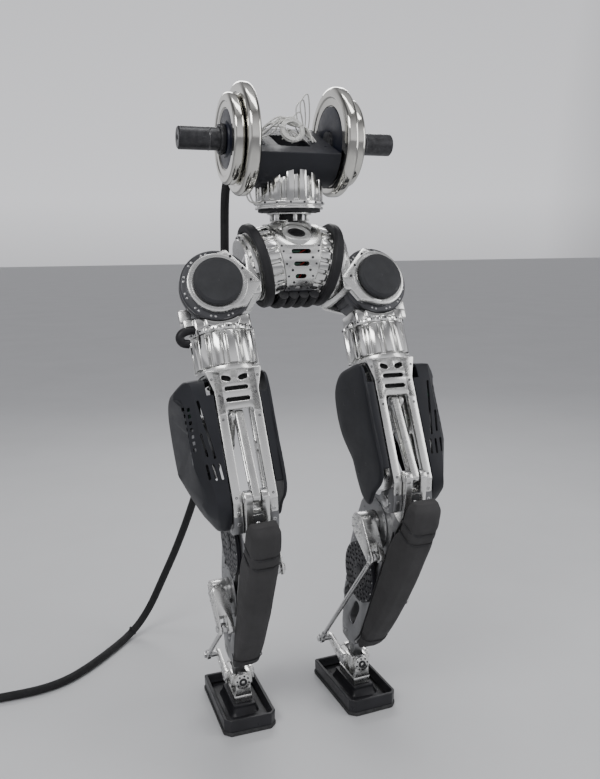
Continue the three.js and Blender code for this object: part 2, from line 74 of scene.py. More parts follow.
joints = {j["name"]: j for j in frame["joints"]}
joint_place = {name: Vector(j["pos_m"]) for name, j in joints.items()}
joint_axis = {name: Vector(j["axis"]) for name, j in joints.items()}
waist = joint_place["waist_yaw"]
waist_foot = Vector((waist.x, waist.y, 0))


# ---- Places: the frame of each body at rest, worked out from its joints ----
def frame_matrix(origin, x, y, z):
    matrix = Matrix((x, y, z)).transposed().to_4x4()
    matrix.translation = origin
    return matrix @ Matrix.Scale(MM, 4)


def leg_places(side_name):
    """Matrices from a leg body's own millimetres to the frame. The right leg's are mirror images."""
    side = SIDES[side_name]
    at = lambda name: joint_place[f"{side_name}_{name}"]
    axis = lambda name: joint_axis[f"{side_name}_{name}"]
    places = {}

    roll_y = -side * axis("hip_roll")
    pitch_axis = side * axis("hip_pitch")
    across = axis("hip_pitch").cross(roll_y)
    hip_x = math.cos(CANT) * pitch_axis + math.sin(CANT) * across
    hip_z = -math.sin(CANT) * pitch_axis + math.cos(CANT) * across
    places["hip"] = frame_matrix(at("hip_pitch"), hip_x, roll_y, hip_z)

    thigh_z = (at("hip_yaw") - at("knee")).normalized()
    places["roll"] = frame_matrix(at("hip_roll"), side * roll_y.cross(thigh_z), roll_y, thigh_z)
    leg_x = side * axis("knee")
    thigh_y = side * thigh_z.cross(leg_x)
    places["thigh"] = frame_matrix(at("hip_yaw"), leg_x, thigh_y, thigh_z)
    places["knee_crank"] = frame_matrix(at("knee_crank"), leg_x, thigh_y, thigh_z)
    places["knee_rod"] = frame_matrix(at("knee_rod"), leg_x, thigh_y, thigh_z)

    shin_z = (at("knee") - at("ankle_pitch")).normalized()
    shin_y = side * shin_z.cross(leg_x)
    places["shin"] = frame_matrix(at("knee"), leg_x, shin_y, shin_z)
    for where in ("inner", "outer"):
        for part in ("ankle_crank", "pushrod"):
            places[f"{part}_{where}"] = frame_matrix(at(f"{part}_{where}"), leg_x, shin_y, shin_z)

    foot_y = side * axis("ankle_roll")
    places["ankle"] = frame_matrix(at("ankle_pitch"), leg_x, foot_y, side * leg_x.cross(foot_y))
    places["foot"] = frame_matrix(at("ankle_roll"), side * foot_y.cross(Z), foot_y, Z)
    return places


LEG = {name: leg_places(name) for name in SIDES}
TORSO = Matrix.Translation(waist_foot) @ Matrix.Scale(MM, 4)


# ---- Outlines: lists of (u, v) points, rounded at the corners ----
def polar(r, angle, u=0.0, v=0.0):
    return u + r * math.cos(angle), v + r * math.sin(angle)


def mirrored(points):
    """The same points on the other side, in reverse order."""
    return [(-u, *rest) for u, *rest in reversed(points)]


def fillet(points, radius=0.0, closed=True, steps=4):
    """Rounds the corners of a polyline. A point may carry its own radius as a third number."""
    flat = [Vector(p[:2]) for p in points]
    own = [p[2] if len(p) > 2 else radius for p in points]
    count = len(flat)
    result = []
    for i, corner in enumerate(flat):
        if own[i] <= 0 or (not closed and i in (0, count - 1)):
            result.append(tuple(corner))
            continue
        before, after = flat[i - 1] - corner, flat[(i + 1) % count] - corner
        half = before.angle(after) / 2
        if half > math.radians(87):
            result.append(tuple(corner))
            continue
        reach = min(own[i] / math.tan(half), 0.48 * before.length, 0.48 * after.length)
        size = reach * math.tan(half)
        start, end = corner + before.normalized() * reach, corner + after.normalized() * reach
        middle = corner + (before.normalized() + after.normalized()).normalized() * size / math.sin(half)
        a0 = math.atan2(*(start - middle).yx)
        sweep = (math.atan2(*(end - middle).yx) - a0 + math.pi) % (2 * math.pi) - math.pi
        for k in range(steps + 1):
            angle = a0 + sweep * k / steps
            result.append(polar(size, angle, *middle))
    return result


def circle(r, steps=48, u=0.0, v=0.0):
    turn = 2 * math.pi / steps
    return [polar(r, i * turn, u, v) for i in range(steps)]


def slot_hole(u, v, half_length, half_width, turn=0.0):
    """An obround hole with round ends, turned about its middle."""
    flat = half_length - half_width
    steps = 6
    points = []
    for end, start in ((1, -math.pi / 2), (-1, math.pi / 2)):
        points += [polar(half_width, start + math.pi * k / steps, end * flat) for k in range(steps + 1)]
    c, s = math.cos(turn), math.sin(turn)
    return [(u + c * a - s * b, v + s * a + c * b) for a, b in points]


def fluted(r, count, depth, rib=0.55, corner=1.2):
    """A round outline with ribs standing out of it."""
    points = []
    for i in range(count):
        for share, radius in ((0, r), (rib, r), (rib + 0.06, r - depth), (0.94, r - depth)):
            angle = 2 * math.pi * (i + share) / count
            points.append((*polar(radius, angle), corner))
    return fillet(points, steps=2)


def area(loop):
    return sum(a[0] * b[1] - b[0] * a[1] for a, b in zip(loop, loop[1:] + loop[:1])) / 2


def inset(loop, distance):
    """The loop moved to its left by a distance: inwards if it runs anticlockwise."""
    points = [Vector(p) for p in loop]
    result = []
    for i, p in enumerate(points):
        into, out = (p - points[i - 1]).normalized(), (points[(i + 1) % len(points)] - p).normalized()
        n1, n2 = Vector((-into.y, into.x)), Vector((-out.y, out.x))
        bisector = n1 + n2
        bisector = bisector.normalized() if bisector.length > 1e-6 else n1
        result.append(tuple(p + bisector * distance / max(0.5, bisector.dot(n1))))
    return result


# ---- Solids, in bmeshes ----
SOLVER = "MANIFOLD"
AXES = {
    "x": lambda u, v, a: (a, u, v),
    "y": lambda u, v, a: (u, a, v),
    "z": lambda u, v, a: (u, v, a),
}


def prism(outline, axis, a0, a1, holes=(), bevel=0.8):
    """A plate between a0 and a1 along an axis, with rounded rims, and holes through it."""
    loops = [list(outline) if area(outline) > 0 else list(outline)[::-1]]
    loops += [list(h) if area(h) < 0 else list(h)[::-1] for h in holes]
    to_3d = AXES[axis]
    bm = bmesh.new()
    bevel = min(bevel, (a1 - a0) * 0.45)
    levels = [(bevel, a0), (bevel * 0.3, a0 + bevel * 0.3), (0, a0 + bevel)]
    levels += [(0, a1 - bevel), (bevel * 0.3, a1 - bevel * 0.3), (bevel, a1)]
    if bevel <= 0:
        levels = [(0, a0), (0, a1)]
    ends = [[], []]
    for loop in loops:
        rings = []
        for distance, a in levels:
            moved = inset(loop, distance) if distance else loop
            rings.append([bm.verts.new(to_3d(u, v, a)) for u, v in moved])
            if a in (a0, a1):
                ends[a == a1].append((moved, rings[-1]))
        for low, high in zip(rings, rings[1:]):
            for i in range(len(loop)):
                j = (i + 1) % len(loop)
                bm.faces.new((low[i], low[j], high[j], high[i]))
    for end in ends:
        flat = [[Vector((u, v, 0)) for u, v in moved] for moved, _ in end]
        verts = [vert for _, ring in end for vert in ring]
        for triangle in tessellate_polygon(flat):
            if len(set(triangle)) == 3:
                face = [verts[i] for i in triangle]
                if not bm.faces.get(face):
                    bm.faces.new(face)
    return bm


def lathe(profile, axis="z", steps=64, closed=False):
    """A profile of (radius, place) points, turned about an axis."""
    bm = bmesh.new()
    to_3d = AXES[axis]
    rings = []
    for r, a in profile:
        if r < 1e-6:
            rings.append([bm.verts.new(to_3d(0, 0, a))])
        else:
            rings.append([bm.verts.new(to_3d(u, v, a)) for u, v in circle(r, steps)])
    pairs = list(zip(rings, rings[1:])) + ([(rings[-1], rings[0])] if closed else [])
    for low, high in pairs:
        for i in range(steps):
            j = (i + 1) % steps
            corners = [low[i % len(low)], low[j % len(low)], high[j % len(high)], high[i % len(high)]]
            corners = list(dict.fromkeys(corners))
            if len(corners) > 2:
                bm.faces.new(corners)
    return bm


def disc(r, a0, a1, axis="z", bevel=1.0, steps=64, hole=0.0):
    """A short cylinder, or a ring when it has a hole, with rounded rims."""
    if hole:
        profile = fillet([(hole, a0), (r, a0), (r, a1), (hole, a1)], bevel, steps=3)
        return lathe(profile, axis, steps, closed=True)
    profile = fillet([(0, a0, 0), (r, a0), (r, a1), (0, a1, 0)], bevel, closed=False, steps=3)
    return lathe(profile, axis, steps)


def side_disc(sign, r, x0, x1, bevel, steps, hole=0.0):
    """A disc on the +X side of the middle, or on the -X side."""
    return disc(r, *sorted((sign * x0, sign * x1)), "x", bevel, steps, hole)


def block(x0, x1, y0, y1, z0, z1, corner=2.0, bevel=0.8, axis="x"):
    spans = {"x": (y0, y1, z0, z1, x0, x1), "y": (x0, x1, z0, z1, y0, y1), "z": (x0, x1, y0, y1, z0, z1)}
    u0, u1, v0, v1, a0, a1 = spans[axis]
    return prism(fillet([(u0, v0), (u1, v0), (u1, v1), (u0, v1)], corner), axis, a0, a1, bevel=bevel)


def link(a, b, ra, rb, x0, x1, holes=(), bevel=1.2):
    """A bar in the side plane with round ends of two sizes."""
    start, end = Vector(a.yz), Vector(b.yz)
    along = end - start
    tilt = math.atan2(along.y, along.x)
    lean = math.acos(max(-1, min(1, (ra - rb) / along.length)))
    points = []
    for centre, r, first, last in ((start, ra, lean, 2 * math.pi - lean), (end, rb, -lean, lean)):
        for k in range(15):
            angle = tilt + first + (last - first) * k / 14
            points.append(polar(r, angle, *centre))
    return prism(points, "x", x0, x1, holes=holes, bevel=bevel)


def swept(points, r, sides=12, taper=None):
    """A closed round tube through points. taper gives its width from the share of the way along."""
    bm = bmesh.new()
    path = [Vector(p) for p in points]
    rings = []
    side = None
    for i, p in enumerate(path):
        along = (path[min(i + 1, len(path) - 1)] - path[max(i - 1, 0)]).normalized()
        if side is None:
            side = along.orthogonal().normalized()
        side = (side - along * side.dot(along)).normalized()
        other = along.cross(side)
        size = r * (taper(i / (len(path) - 1)) if taper else 1)
        ring = [p + size * (side * u + other * v) for u, v in circle(1, sides)]
        rings.append([bm.verts.new(q) for q in ring])
    for low, high in zip(rings, rings[1:]):
        for i in range(sides):
            j = (i + 1) % sides
            bm.faces.new((low[i], low[j], high[j], high[i]))
    bm.faces.new(rings[0])
    bm.faces.new(rings[-1][::-1])
    return bm


def between(a, b, c, d, steps):
    """Points from b towards c on a smooth curve through all four (Catmull-Rom)."""
    shares = [k / steps for k in range(steps)]
    return [0.5 * (2 * b + (c - a) * t + (2 * a - 5 * b + 4 * c - d) * t * t
                   + (3 * b - a - 3 * c + d) * t ** 3) for t in shares]


def curve_points(points, steps=8):
    """Points of a smooth curve through a few given ones."""
    p = [Vector(q) for q in points]
    p = [2 * p[0] - p[1]] + p + [2 * p[-1] - p[-2]]
    result = []
    for four in zip(p, p[1:], p[2:], p[3:]):
        result += between(*four, steps)
    return result + [p[-2]]


def smooth_loop(points, steps):
    """A closed smooth curve through points in a plane."""
    p = [Vector(q) for q in points]
    result = []
    for i in range(len(p)):
        result += between(*(p[(i + k) % len(p)] for k in (-1, 0, 1, 2)), steps)
    return result


def strand(points, steps, r, sides=8):
    """A thin round wire or tube along a smooth curve through a few points."""
    return swept(curve_points(points, steps), r, sides)


def loft(rings):
    """A skin over rings that all have the same number of points."""
    bm = bmesh.new()
    made = [[bm.verts.new(p) for p in ring] for ring in rings]
    for low, high in zip(made, made[1:]):
        for i in range(len(low)):
            j = (i + 1) % len(low)
            bm.faces.new((low[i], low[j], high[j], high[i]))
    bm.faces.new(made[0][::-1])
    bm.faces.new(made[-1])
    return bm


def merged(*parts):
    whole = bmesh.new()
    for part in parts:
        mesh = bpy.data.meshes.new("part")
        bmesh.ops.recalc_face_normals(part, faces=part.faces)
        part.to_mesh(mesh)
        whole.from_mesh(mesh)
        bpy.data.meshes.remove(mesh)
        part.free()
    return whole


def moved(bm, matrix):
    bmesh.ops.transform(bm, matrix=matrix, verts=bm.verts)
    return bm


def shifted(bm, x, y, z):
    return moved(bm, Matrix.Translation((x, y, z)))


def spun(make, count, axis):
    """Copies of a part, turned about an axis."""
    return [moved(make(), Matrix.Rotation(2 * math.pi * i / count, 4, axis)) for i in range(count)]


def towards(place, direction):
    """The matrix that carries +Z at the origin to a direction at a place."""
    turn = Vector(direction).to_track_quat("Z", "Y").to_matrix().to_4x4()
    return Matrix.Translation(Vector(place)) @ turn


def modified(bm, *modifiers):
    """The mesh after modifiers, given as (type, settings)."""
    bmesh.ops.recalc_face_normals(bm, faces=bm.faces)
    mesh = bpy.data.meshes.new("work")
    bm.to_mesh(mesh)
    bm.free()
    work = bpy.data.objects.new("work", mesh)
    bpy.context.scene.collection.objects.link(work)
    for kind, settings in modifiers:
        modifier = work.modifiers.new(kind.lower(), kind)
        for key, value in settings.items():
            setattr(modifier, key, value)
    depsgraph = bpy.context.evaluated_depsgraph_get()
    result = bmesh.new()
    result.from_mesh(bpy.data.meshes.new_from_object(work.evaluated_get(depsgraph)))
    bpy.data.objects.remove(work)
    return result


def cut(bm, *tools, bevel=0.0):
    """Takes the tools away, one after another, and rounds the sharp edges that are left."""
    helpers, steps = [], []
    for tool_bm in tools:
        bmesh.ops.recalc_face_normals(tool_bm, faces=tool_bm.faces)
        tool_mesh = bpy.data.meshes.new("tool")
        tool_bm.to_mesh(tool_mesh)
        tool_bm.free()
        helpers.append(bpy.data.objects.new("tool", tool_mesh))
        bpy.context.scene.collection.objects.link(helpers[-1])
        steps.append(("BOOLEAN", {"operation": "DIFFERENCE", "solver": SOLVER, "object": helpers[-1]}))
    if bevel:
        settings = {"width": bevel, "segments": 2, "limit_method": "ANGLE", "angle_limit": math.radians(40)}
        steps.append(("BEVEL", settings))
    result = modified(bm, *steps)
    for helper in helpers:
        bpy.data.objects.remove(helper)
    return result


def bolt(place, direction, r=3.0, height=2.5):
    """A socket-head screw, standing on a face."""
    socket = 0.5 * r
    profile = [(0, height * 0.3), (socket, height * 0.3), (socket, height), (r * 0.86, height),
               (r, height * 0.82), (r, -0.5), (0, -0.5)]
    return moved(lathe(profile, "z", 12), towards(place, direction))


def bolt_circle(count, radius, axis, a, sign, r=3.0, height=2.5, first=0.0, centre=(0, 0)):
    to_3d = AXES[axis]
    direction = Vector(to_3d(0, 0, sign))
    bolts = []
    for i in range(count):
        angle = first + 2 * math.pi * i / count
        bolts.append(bolt(to_3d(*polar(radius, angle, *centre), a), direction, r, height))
    return bolts


def bolts_on_rim(count, radius, z, r, height):
    """Screws that stand out of a round rim about Z."""
    angles = [2 * math.pi * (i + 0.3) / count for i in range(count)]
    return [bolt((*polar(radius, angle), z), (*polar(1, angle), 0), r, height) for angle in angles]


def hole_ring(count, radius, r, first):
    turn = 2 * math.pi / count
    return [circle(r, 8, *polar(radius, first + i * turn)) for i in range(count)]


def piece(name, bm, place, slot, body, replaces=(), sharp=38):
    """Turns a solid into a piece of the robot: its place, its finish and the body it moves with."""
    bmesh.ops.transform(bm, matrix=place, verts=bm.verts)
    bmesh.ops.recalc_face_normals(bm, faces=bm.faces)
    limit = math.radians(sharp)
    for face in bm.faces:
        face.smooth = True
    for edge in bm.edges:
        edge.smooth = len(edge.link_faces) != 2 or edge.calc_face_angle(0) < limit
    mesh = bpy.data.meshes.new(name)
    bm.to_mesh(mesh)
    bm.free()
    obj = bpy.data.objects.new(name, mesh)
    bpy.context.scene.collection.objects.link(obj)
    mesh.materials.append(FINISH[slot])
    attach(obj, body)
    if replaces:
        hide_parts(*replaces)
    return obj


# ---- Finishes ----
def link_nodes(tree, source, output, target, socket):
    tree.links.new(source.outputs[output], target.inputs[socket])


def texture(tree, kind, scale, stretch=(1, 1, 1), **settings):
    """A texture node in the object's own metres."""
    coordinates = tree.nodes.new("ShaderNodeTexCoord")
    mapping = tree.nodes.new("ShaderNodeMapping")
    mapping.inputs["Scale"].default_value = stretch
    node = tree.nodes.new(kind)
    node.inputs["Scale"].default_value = scale
    for key, value in settings.items():
        if key in node.inputs:
            node.inputs[key].default_value = value
        else:
            setattr(node, key, value)
    link_nodes(tree, coordinates, "Object", mapping, "Vector")
    link_nodes(tree, mapping, "Vector", node, "Vector")
    return node


def spread(tree, source, output, low, high, start=0.3, end=0.7):
    node = tree.nodes.new("ShaderNodeMapRange")
    for name, value in (("From Min", start), ("From Max", end), ("To Min", low), ("To Max", high)):
        node.inputs[name].default_value = value
    link_nodes(tree, source, output, node, "Value")
    return node


def colour_mix(tree, factor, output, a, b):
    node = tree.nodes.new("ShaderNodeMix")
    node.data_type = "RGBA"
    link_nodes(tree, factor, output, node, 0)
    for index, colour in ((6, a), (7, b)):
        if isinstance(colour, bpy.types.Node):
            tree.links.new(colour.outputs[2], node.inputs[index])
        else:
            node.inputs[index].default_value = (*colour, 1)
    return node


def finish(name, colour, rough, metallic, tint, patch, smudge, bumps=(), wear_and_highlight=None, **shader):
    """A finish with uneven colour and gloss, fine relief, and sharp edges of their own colour and gloss where
    asked for: partly wear, partly painted highlight.

    tint and smudge are how far colour and gloss wander, and patch is how fine their clouds are.
    bumps are (kind, scale, stretch, distance in metres, strength); the sharp-edge colour after them is
    (colour, share, roughness), partly wear, partly painted highlight.
    """
    material = bpy.data.materials.new(name)
    material.use_nodes = True
    tree = material.node_tree
    principled = tree.nodes["Principled BSDF"]
    principled.inputs["Metallic"].default_value = metallic
    for key, value in shader.items():
        principled.inputs[key.replace("_", " ")].default_value = value

    dark = tuple(c * (1 - tint) for c in colour)
    light = tuple(min(1, c * (1 + tint)) for c in colour)
    clouds = texture(tree, "ShaderNodeTexNoise", patch, Detail=6.0, Roughness=0.62)
    shade = colour_mix(tree, spread(tree, clouds, 0, 0, 1), 0, dark, light)
    handled = texture(tree, "ShaderNodeTexNoise", patch * 2.7, Detail=8.0, Roughness=0.7)
    gloss = spread(tree, handled, 0, max(0.02, rough - smudge), rough + smudge)
    # Sharp edges, broken up by noise, take another colour and roughness: a painted highlight on metals, wear
    # with painted highlight on dark finishes.
    if wear_and_highlight:
        edge = tree.nodes.new("ShaderNodeNewGeometry")
        edge_breakup = texture(tree, "ShaderNodeTexNoise", 90.0, Detail=6.0, Roughness=0.7)
        sharp_edge = spread(tree, edge, "Pointiness", 0, 1, 0.53, 0.6)
        chosen = tree.nodes.new("ShaderNodeMath")
        chosen.operation = "MULTIPLY"
        link_nodes(tree, sharp_edge, 0, chosen, 0)
        link_nodes(tree, spread(tree, edge_breakup, 0, 0, wear_and_highlight[1], 0.4, 0.62), 0, chosen, 1)
        shade = colour_mix(tree, chosen, 0, shade, wear_and_highlight[0])
        edge_gloss = tree.nodes.new("ShaderNodeMix")
        link_nodes(tree, chosen, 0, edge_gloss, 0)
        link_nodes(tree, gloss, 0, edge_gloss, 2)
        edge_gloss.inputs[3].default_value = wear_and_highlight[2]
        gloss = edge_gloss
    tree.links.new(shade.outputs[2], principled.inputs["Base Color"])
    tree.links.new(gloss.outputs[0], principled.inputs["Roughness"])

    previous = None
    for kind, scale, stretch, distance, strength in bumps:
        relief = texture(tree, kind, scale, stretch)
        bump = tree.nodes.new("ShaderNodeBump")
        bump.inputs["Distance"].default_value = distance
        bump.inputs["Strength"].default_value = strength
        link_nodes(tree, relief, 0, bump, "Height")
        if previous:
            link_nodes(tree, previous, "Normal", bump, "Normal")
        previous = bump
    if previous:
        link_nodes(tree, previous, "Normal", principled, "Normal")
    return material


NOISE, CELLS = "ShaderNodeTexNoise", "ShaderNodeTexVoronoi"
EVEN = (1, 1, 1)
# Sharp-edge colours: the bright one is a painted highlight on metal, the grey one is wear with painted
# highlight on dark finishes.
EDGE_HIGHLIGHT = (0.85, 0.86, 0.87)
GREY_EDGE = (0.16, 0.16, 0.165)
turning_marks = (NOISE, 260.0, (0.12, 0.12, 6), 0.0001, 0.06)
milling_marks = (NOISE, 160.0, (8, 0.25, 0.25), 0.0001, 0.04)
fine_grain = (NOISE, 900.0, EVEN, 0.0001, 0.16)
anodised_grain = (NOISE, 900.0, EVEN, 0.0001, 0.15)
MATT = {"Specular_IOR_Level": 0.28}
SOFT_SHINE = {"Specular_IOR_Level": 0.35}
FINISH = {
    "frame_aluminium": finish("machined aluminium", (0.74, 0.74, 0.725), 0.27, 1.0, 0.05, 9.0, 0.05,
                              [milling_marks], (EDGE_HIGHLIGHT, 0.12, 0.24)),
    "motor_aluminium": finish("fluted aluminium", (0.72, 0.72, 0.705), 0.17, 1.0, 0.06, 10.0, 0.05,
                              [turning_marks], (EDGE_HIGHLIGHT, 0.12, 0.16)),
    "plate_chrome": finish("chrome", (0.63, 0.62, 0.58), 0.10, 1.0, 0.08, 20.0, 0.05,
                           [(NOISE, 40.0, EVEN, 0.0004, 0.04)]),
    "rod_steel": finish("ground steel", (0.55, 0.55, 0.55), 0.30, 1.0, 0.08, 40.0, 0.08,
                        [turning_marks], (EDGE_HIGHLIGHT, 0.5, 0.25)),
    "dark_anodised": finish("grey anodising", (0.085, 0.086, 0.092), 0.38, 0.8, 0.12, 16.0, 0.06,
                            [anodised_grain], ((0.4, 0.4, 0.41), 0.3, 0.32)),
    "light_anodised": finish("light grey anodising", (0.22, 0.222, 0.228), 0.36, 0.85, 0.12, 16.0, 0.06,
                             [anodised_grain], ((0.5, 0.5, 0.51), 0.3, 0.3)),
    "drum_plastic": finish("drum plastic", (0.019, 0.020, 0.025), 0.46, 0.0, 0.2, 10.0, 0.07,
                           [fine_grain], **MATT),
    "bar_metal": finish("blackened steel", (0.022, 0.022, 0.025), 0.38, 0.3, 0.3, 30.0, 0.1,
                        [turning_marks], (GREY_EDGE, 0.8, 0.3)),
    "black_plastic": finish("black plastic", (0.019, 0.019, 0.021), 0.55, 0.0, 0.25, 25.0, 0.08,
                            [fine_grain], (GREY_EDGE, 0.5, 0.5), **MATT),
    "cap_plastic": finish("grained cap", (0.032, 0.033, 0.036), 0.6, 0.0, 0.2, 30.0, 0.06,
                          [(CELLS, 900.0, EVEN, 0.0003, 0.5)], (GREY_EDGE, 0.4, 0.5), **MATT),
    "cover_plastic": finish("moulded cover", (0.017, 0.018, 0.022), 0.44, 0.0, 0.2, 7.0, 0.07,
                            [fine_grain, (NOISE, 12.0, EVEN, 0.0015, 0.04)], **MATT),
    "cable_sleeve": finish("spiral wrap", (0.014, 0.014, 0.016), 0.42, 0.0, 0.3, 40.0, 0.1,
                           [(NOISE, 300.0, EVEN, 0.0005, 0.2)], **MATT),
    "vented_black": finish("black cover", (0.012, 0.012, 0.016), 0.42, 0.0, 0.25, 30.0, 0.1,
                           [(NOISE, 700.0, EVEN, 0.0001, 0.2)], **SOFT_SHINE),
    "pad_foam": finish("closed-cell foam", (0.047, 0.046, 0.047), 0.78, 0.0, 0.16, 12.0, 0.07,
                       [(CELLS, 1500.0, EVEN, 0.0003, 0.35), (NOISE, 60.0, EVEN, 0.0012, 0.18),
                        (NOISE, 16.0, EVEN, 0.003, 0.12)], **MATT),
    "foot_black": finish("coated foot", (0.019, 0.019, 0.022), 0.36, 0.0, 0.3, 20.0, 0.12,
                         [(NOISE, 500.0, EVEN, 0.0002, 0.2), (NOISE, 45.0, (1, 1, 3), 0.0006, 0.2)],
                         **SOFT_SHINE),
    "sole_rubber": finish("scuffed rubber", (0.045, 0.045, 0.046), 0.85, 0.0, 0.4, 60.0, 0.08,
                          [(NOISE, 260.0, EVEN, 0.001, 0.6)], **MATT),
    "wire_white": finish("white insulation", (0.70, 0.70, 0.67), 0.38, 0.0, 0.07, 60.0, 0.06,
                         [(NOISE, 700.0, EVEN, 0.0002, 0.15)], Coat_Weight=0.2),
    "umbilical_sleeve": finish("braided sleeve", (0.014, 0.014, 0.015), 0.6, 0.0, 0.35, 60.0, 0.1,
                               [(CELLS, 620.0, EVEN, 0.0008, 0.7), (NOISE, 90.0, EVEN, 0.001, 0.2)],
                               **MATT),
    "connector_plastic": finish("connector shell", (0.02, 0.02, 0.022), 0.4, 0.0, 0.25, 40.0, 0.1,
                                [fine_grain], (GREY_EDGE, 0.6, 0.4), **MATT),
    "circuit_green": finish("circuit board", (0.03, 0.12, 0.07), 0.4, 0.0, 0.4, 160.0, 0.1,
                            [(CELLS, 300.0, EVEN, 0.001, 0.8)]),
    "lead_red": finish("red leads", (0.35, 0.02, 0.015), 0.45, 0.0, 0.3, 90.0, 0.1,
                       [(NOISE, 200.0, EVEN, 0.001, 0.4)]),
    "dish_enamel": finish("dark enamel", (0.010, 0.012, 0.022), 0.34, 0.0, 0.3, 22.0, 0.08,
                          [(NOISE, 120.0, EVEN, 0.0004, 0.08)], (GREY_EDGE, 0.6, 0.3),
                          Specular_IOR_Level=0.4),
    "white_boss": finish("bead-blasted boss", (0.62, 0.62, 0.61), 0.42, 0.6, 0.08, 30.0, 0.08,
                         [(NOISE, 900.0, EVEN, 0.0002, 0.2)], (EDGE_HIGHLIGHT, 0.5, 0.3)),
    "winding_red": finish("varnished winding", (0.06, 0.012, 0.01), 0.45, 0.2, 0.4, 90.0, 0.1,
                          [(NOISE, 300.0, EVEN, 0.0005, 0.4)]),
    "strap_webbing": finish("elastic strap", (0.03, 0.03, 0.032), 0.8, 0.0, 0.2, 50.0, 0.08,
                             [(NOISE, 900.0, (0.3, 0.3, 4), 0.0004, 0.6)], ((0.08, 0.08, 0.08), 0.6, 0.85),
                             **MATT),
    # A near-black, darker than any real finish here, for hollows and the backs of holes: painted shade.
    "painted_shade_black": finish("painted shade inside", (0.008, 0.008, 0.009), 0.7, 0.0, 0.3, 60.0, 0.1,
                         [(NOISE, 200.0, EVEN, 0.001, 0.3)]),
}


# ---- Camera, light and floor ----
def make_stage():
    camera_data = bpy.data.cameras.new("camera")
    camera = bpy.data.objects.new("camera", camera_data)
    bpy.context.scene.collection.objects.link(camera)
    from_waist = Vector((-0.5308, -1.5554, 1.050))
    heading, pitch, roll = math.radians(-19.5), math.radians(90 - 10.3), math.radians(-0.6)
    turn = Matrix.Rotation(heading, 4, "Z") @ Matrix.Rotation(pitch, 4, "X") @ Matrix.Rotation(roll, 4, "Z")
    camera.matrix_world = Matrix.Translation(waist_foot + from_waist) @ turn
    camera_data.sensor_width = 36
    camera_data.lens = 35.58
    camera_data.clip_end = 200
    bpy.context.scene.camera = camera

    bpy.ops.mesh.primitive_plane_add(size=120, location=(0, 0, -0.0005))
    floor = bpy.context.object
    floor.name = "floor"
    floor.data.materials.append(finish("pale floor", (0.66, 0.665, 0.675), 0.75, 0.0, 0.03, 1.5, 0.05))

    def lamp(name, size, power, location, target):
        data = bpy.data.lights.new(name, "AREA")
        data.shape = "RECTANGLE"
        data.size, data.size_y, data.energy = size[0], size[1], power
        light = bpy.data.objects.new(name, data)
        bpy.context.scene.collection.objects.link(light)
        light.location = location
        aim = Vector(target) - Vector(location)
        light.rotation_euler = aim.to_track_quat("-Z", "Y").to_euler()

    lamp("key_panel", (1.6, 1.0), 42, (-1.9, -1.7, 2.9), (0, 0, 0.8))
    lamp("fill_panel", (1.2, 1.8), 20, (2.4, -1.2, 1.6), (0, 0, 0.7))
    lamp("rim_panel", (1.8, 0.7), 26, (0.6, 2.4, 2.5), (0, 0, 0.9))
    lamp("top_strip", (0.5, 2.4), 20, (0.2, -0.2, 3.2), (0, 0, 0.9))

    make_world()


def make_world():
    """Pale in front and behind, darker to the sides and overhead, so that metal has something to mirror."""
    world = bpy.data.worlds.new("studio")
    bpy.context.scene.world = world
    world.use_nodes = True
    tree = world.node_tree
    coordinates = tree.nodes.new("ShaderNodeTexCoord")
    split = tree.nodes.new("ShaderNodeSeparateXYZ")
    link_nodes(tree, coordinates, "Generated", split, "Vector")
    shades = []
    for axis, stops in (("Z", ((0.40, 0.22), (0.53, 1.0), (0.70, 0.80), (0.86, 0.25), (1.0, 0.7))),
                        ("X", ((0.0, 0.95), (0.06, 0.85), (0.13, 0.33), (0.22, 0.40), (0.33, 0.95),
                               (0.60, 1.0), (0.80, 0.97), (0.87, 0.30), (0.93, 0.38), (0.99, 0.9)))):
        ramp = tree.nodes.new("ShaderNodeValToRGB")
        link_nodes(tree, spread(tree, split, axis, 0, 1, -1, 1), 0, ramp, "Fac")
        elements = ramp.color_ramp.elements
        while len(elements) < len(stops):
            elements.new(0.5)
        for element, (position, grey) in zip(elements, stops):
            element.position = position
            element.color = (grey, grey, grey * 1.02, 1)
        shades.append(ramp)
    both = tree.nodes.new("ShaderNodeMix")
    both.data_type = "RGBA"
    both.blend_type = "MULTIPLY"
    both.inputs[0].default_value = 1
    link_nodes(tree, shades[0], "Color", both, 6)
    link_nodes(tree, shades[1], "Color", both, 7)
    tree.links.new(both.outputs[2], tree.nodes["Background"].inputs["Color"])
    tree.nodes["Background"].inputs["Strength"].default_value = 0.95


make_stage()


# ---- Cords: the umbilical with its coil and plug, and the wire hank on the drum ----
def cord_curve(name, points, diameter, slot, body):
    data = bpy.data.curves.new(name, "CURVE")
    data.dimensions = "3D"
    data.bevel_depth = diameter / 2
    data.bevel_resolution = 5
    data.use_fill_caps = True
    spline = data.splines.new("POLY")
    spline.points.add(len(points) - 1)
    for target, p in zip(spline.points, points):
        target.co = (*p, 1)
    obj = bpy.data.objects.new(name, data)
    bpy.context.scene.collection.objects.link(obj)
    data.materials.append(FINISH[slot])
    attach(obj, body)
    return obj


